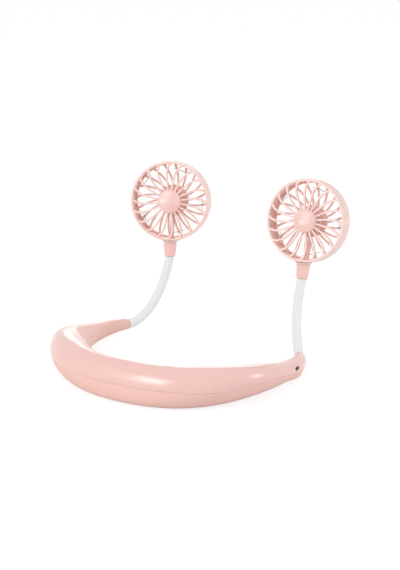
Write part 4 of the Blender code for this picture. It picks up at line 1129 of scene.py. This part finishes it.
def fan_side(side, sign, forwards, outwards, toe_in):
    """One gooseneck with its collar and head."""
    height = NECK_SETTINGS[side][0]
    rotation = side_rotation(sign, forwards, outwards, toe_in)
    tip_frame = Matrix.Translation((sign * TIP_ACROSS, TIP_FORWARD, height)) @ rotation
    gooseneck(side, sign, tip_frame)
    collar(side, tip_frame)
    reach = COLLAR_HEIGHT + GAP + FLANGE_HEIGHT + FAN_RADIUS
    head = tip_frame @ Matrix.Translation((0, 0, reach))
    disc = head @ Matrix.Rotation(radians(90), 4, "X")
    for name, model, look, body, slot, node in MODELS:
        piece = added(f"{name}_{side}", model.data.copy())
        piece.data.transform(disc)
        dressed(piece, look, f"{side}_{body}", f"{node}_{side}")
        if node == "front_grille":
            GRILLES.objects.link(piece)


GRILLES = bpy.data.collections.new("lit_by_hub_softboxes")
neckband()
MODELS = head_models()
for side_name, head_setting in HEAD_SETTINGS.items():
    fan_side(side_name, *head_setting)
for _, model, *_ in MODELS:
    bpy.data.objects.remove(model)


# ---- Materials of the CAD nodes that stay ----

KEPT = {
    "shell_screw": STEEL, "battery_cell": FOIL, "control_board": BOARD, "charging_socket": SOCKET_METAL,
    "push_switch": BLACK, "indicator_light": LAMP_WHITE, "base_ferrule": STEEL, "tip_ferrule": STEEL,
    "motor_can": STEEL, "motor_end_cap": BLACK, "swivel_clip": STEEL, "motor_shaft": STEEL,
}
for node_name, node in frame["nodes"].items():
    for prefix, look in KEPT.items():
        if node_name.startswith(prefix):
            for material_slot in node.material_slots:
                material_slot.material = look


# ---- Camera, lights, floor ----

WORLD_LIGHT = 0.71
FLOOR_SHADOW_SHARE = 0.35
FLOOR_GLOW = 1.19
LIGHT_DISTANCE = 1.2


def direction(azimuth, elevation):
    """The way from the object towards this azimuth and elevation in degrees."""
    azimuth, elevation = radians(azimuth), radians(elevation)
    return Vector((sin(azimuth) * cos(elevation), -cos(azimuth) * cos(elevation),
                   sin(elevation)))


def camera():
    """The photograph's camera."""
    back = direction(VIEW_AZIMUTH, VIEW_ELEVATION)
    azimuth = radians(VIEW_AZIMUTH)
    right = Vector((cos(azimuth), sin(azimuth), 0))
    up = back.cross(right)
    place = Vector(VIEW_TARGET) + right * VIEW_SHIFT_RIGHT + up * VIEW_SHIFT_UP + back * VIEW_DISTANCE
    data = bpy.data.cameras.new("photo_camera")
    data.sensor_width = SENSOR
    data.lens = VIEW_SCALE * VIEW_DISTANCE * SENSOR / max(IMAGE_WIDTH, IMAGE_HEIGHT)
    data.clip_start = 0.01
    data.clip_end = 50
    made = added("photo_camera", data)
    made.matrix_world = Matrix((right, up, back)).transposed().to_4x4()
    made.matrix_world.translation = place
    bpy.context.scene.camera = made


def seen_rays(tree):
    """1 for rays that see a surface directly, in a mirror or through glass."""
    path = new_node(tree, "LightPath")
    seen = path.outputs["Is Camera Ray"]
    for ray in ("Is Glossy Ray", "Is Transmission Ray"):
        either = new_node(tree, "Math")
        either.operation = "MAXIMUM"
        tree.links.new(seen, either.inputs[0])
        tree.links.new(path.outputs[ray], either.inputs[1])
        seen = either.outputs[0]
    return seen


def mixed(tree, share, first, second, output):
    """Send the second shader to the output in this share, and the first in the rest."""
    mix = new_node(tree, "MixShader")
    for source, socket in zip((share, first.outputs[0], second.outputs[0]), mix.inputs):
        tree.links.new(source, socket)
    tree.links.new(mix.outputs[0], tree.nodes[output].inputs["Surface"])


def world_light():
    """Plain light from all sides, in front of a background that looks white."""
    world = bpy.data.worlds.new("studio")
    world.use_nodes = True
    bpy.context.scene.world = world
    tree = world.node_tree
    lit = set_inputs(tree.nodes["Background"], {"Color": (1, 1, 1, 1), "Strength": WORLD_LIGHT})
    mixed(tree, seen_rays(tree), lit, new_node(tree, "Background", Color=(1, 1, 1, 1)), "World Output")


def pale_floor():
    """A floor that looks white but keeps part of the object's shadow."""
    bm = bmesh.new()
    bmesh.ops.create_grid(bm, x_segments=1, y_segments=1, size=12)
    mesh = bpy.data.meshes.new("floor")
    bm.to_mesh(mesh)
    bm.free()
    floor = added("floor", mesh)
    look = Surface("pale_floor", Base_Color=linear(243, 243, 243), Roughness=0.9, Specular_IOR_Level=0)
    tree = look.tree
    glow = new_node(tree, "Emission", Strength=FLOOR_GLOW)
    share = new_node(tree, "Math")
    share.operation = "MULTIPLY"
    share.inputs[1].default_value = 1 - FLOOR_SHADOW_SHARE
    tree.links.new(seen_rays(tree), share.inputs[0])
    mixed(tree, share.outputs[0], look.shader, glow, "Material Output")
    mesh.materials.append(look.material)


def softbox(name, azimuth, elevation, width, height, power, lit=None):
    """An area light aimed at the object, or one that only makes reflections on a collection's pieces."""
    way = direction(azimuth, elevation)
    data = bpy.data.lights.new(name, "AREA")
    data.shape = "RECTANGLE"
    data.size = width
    data.size_y = height
    data.energy = power
    lamp = added(name, data)
    lamp.location = Vector(VIEW_TARGET) + way * LIGHT_DISTANCE
    lamp.rotation_euler = way.to_track_quat("Z", "Y").to_euler()
    lamp.visible_camera = False
    if lit:
        lamp.light_linking.receiver_collection = lit
        lamp.visible_diffuse = False


camera()
world_light()
pale_floor()

# Azimuth and elevation in degrees, width and height in metres, power in watts
softbox("key_softbox", -17, 38, 0.5, 0.32, 4.3)
softbox("left_hub_softbox", -11, 12, 0.24, 0.24, 2.6, lit=GRILLES)
softbox("right_hub_softbox", -30, 6, 0.24, 0.24, 3.8, lit=GRILLES)
softbox("rim_softbox", 112, 20, 0.35, 0.4, 2.4)
softbox("back_softbox", -151, 9, 0.5, 0.18, 0.6)

bpy.context.scene.view_settings.view_transform = "Standard"
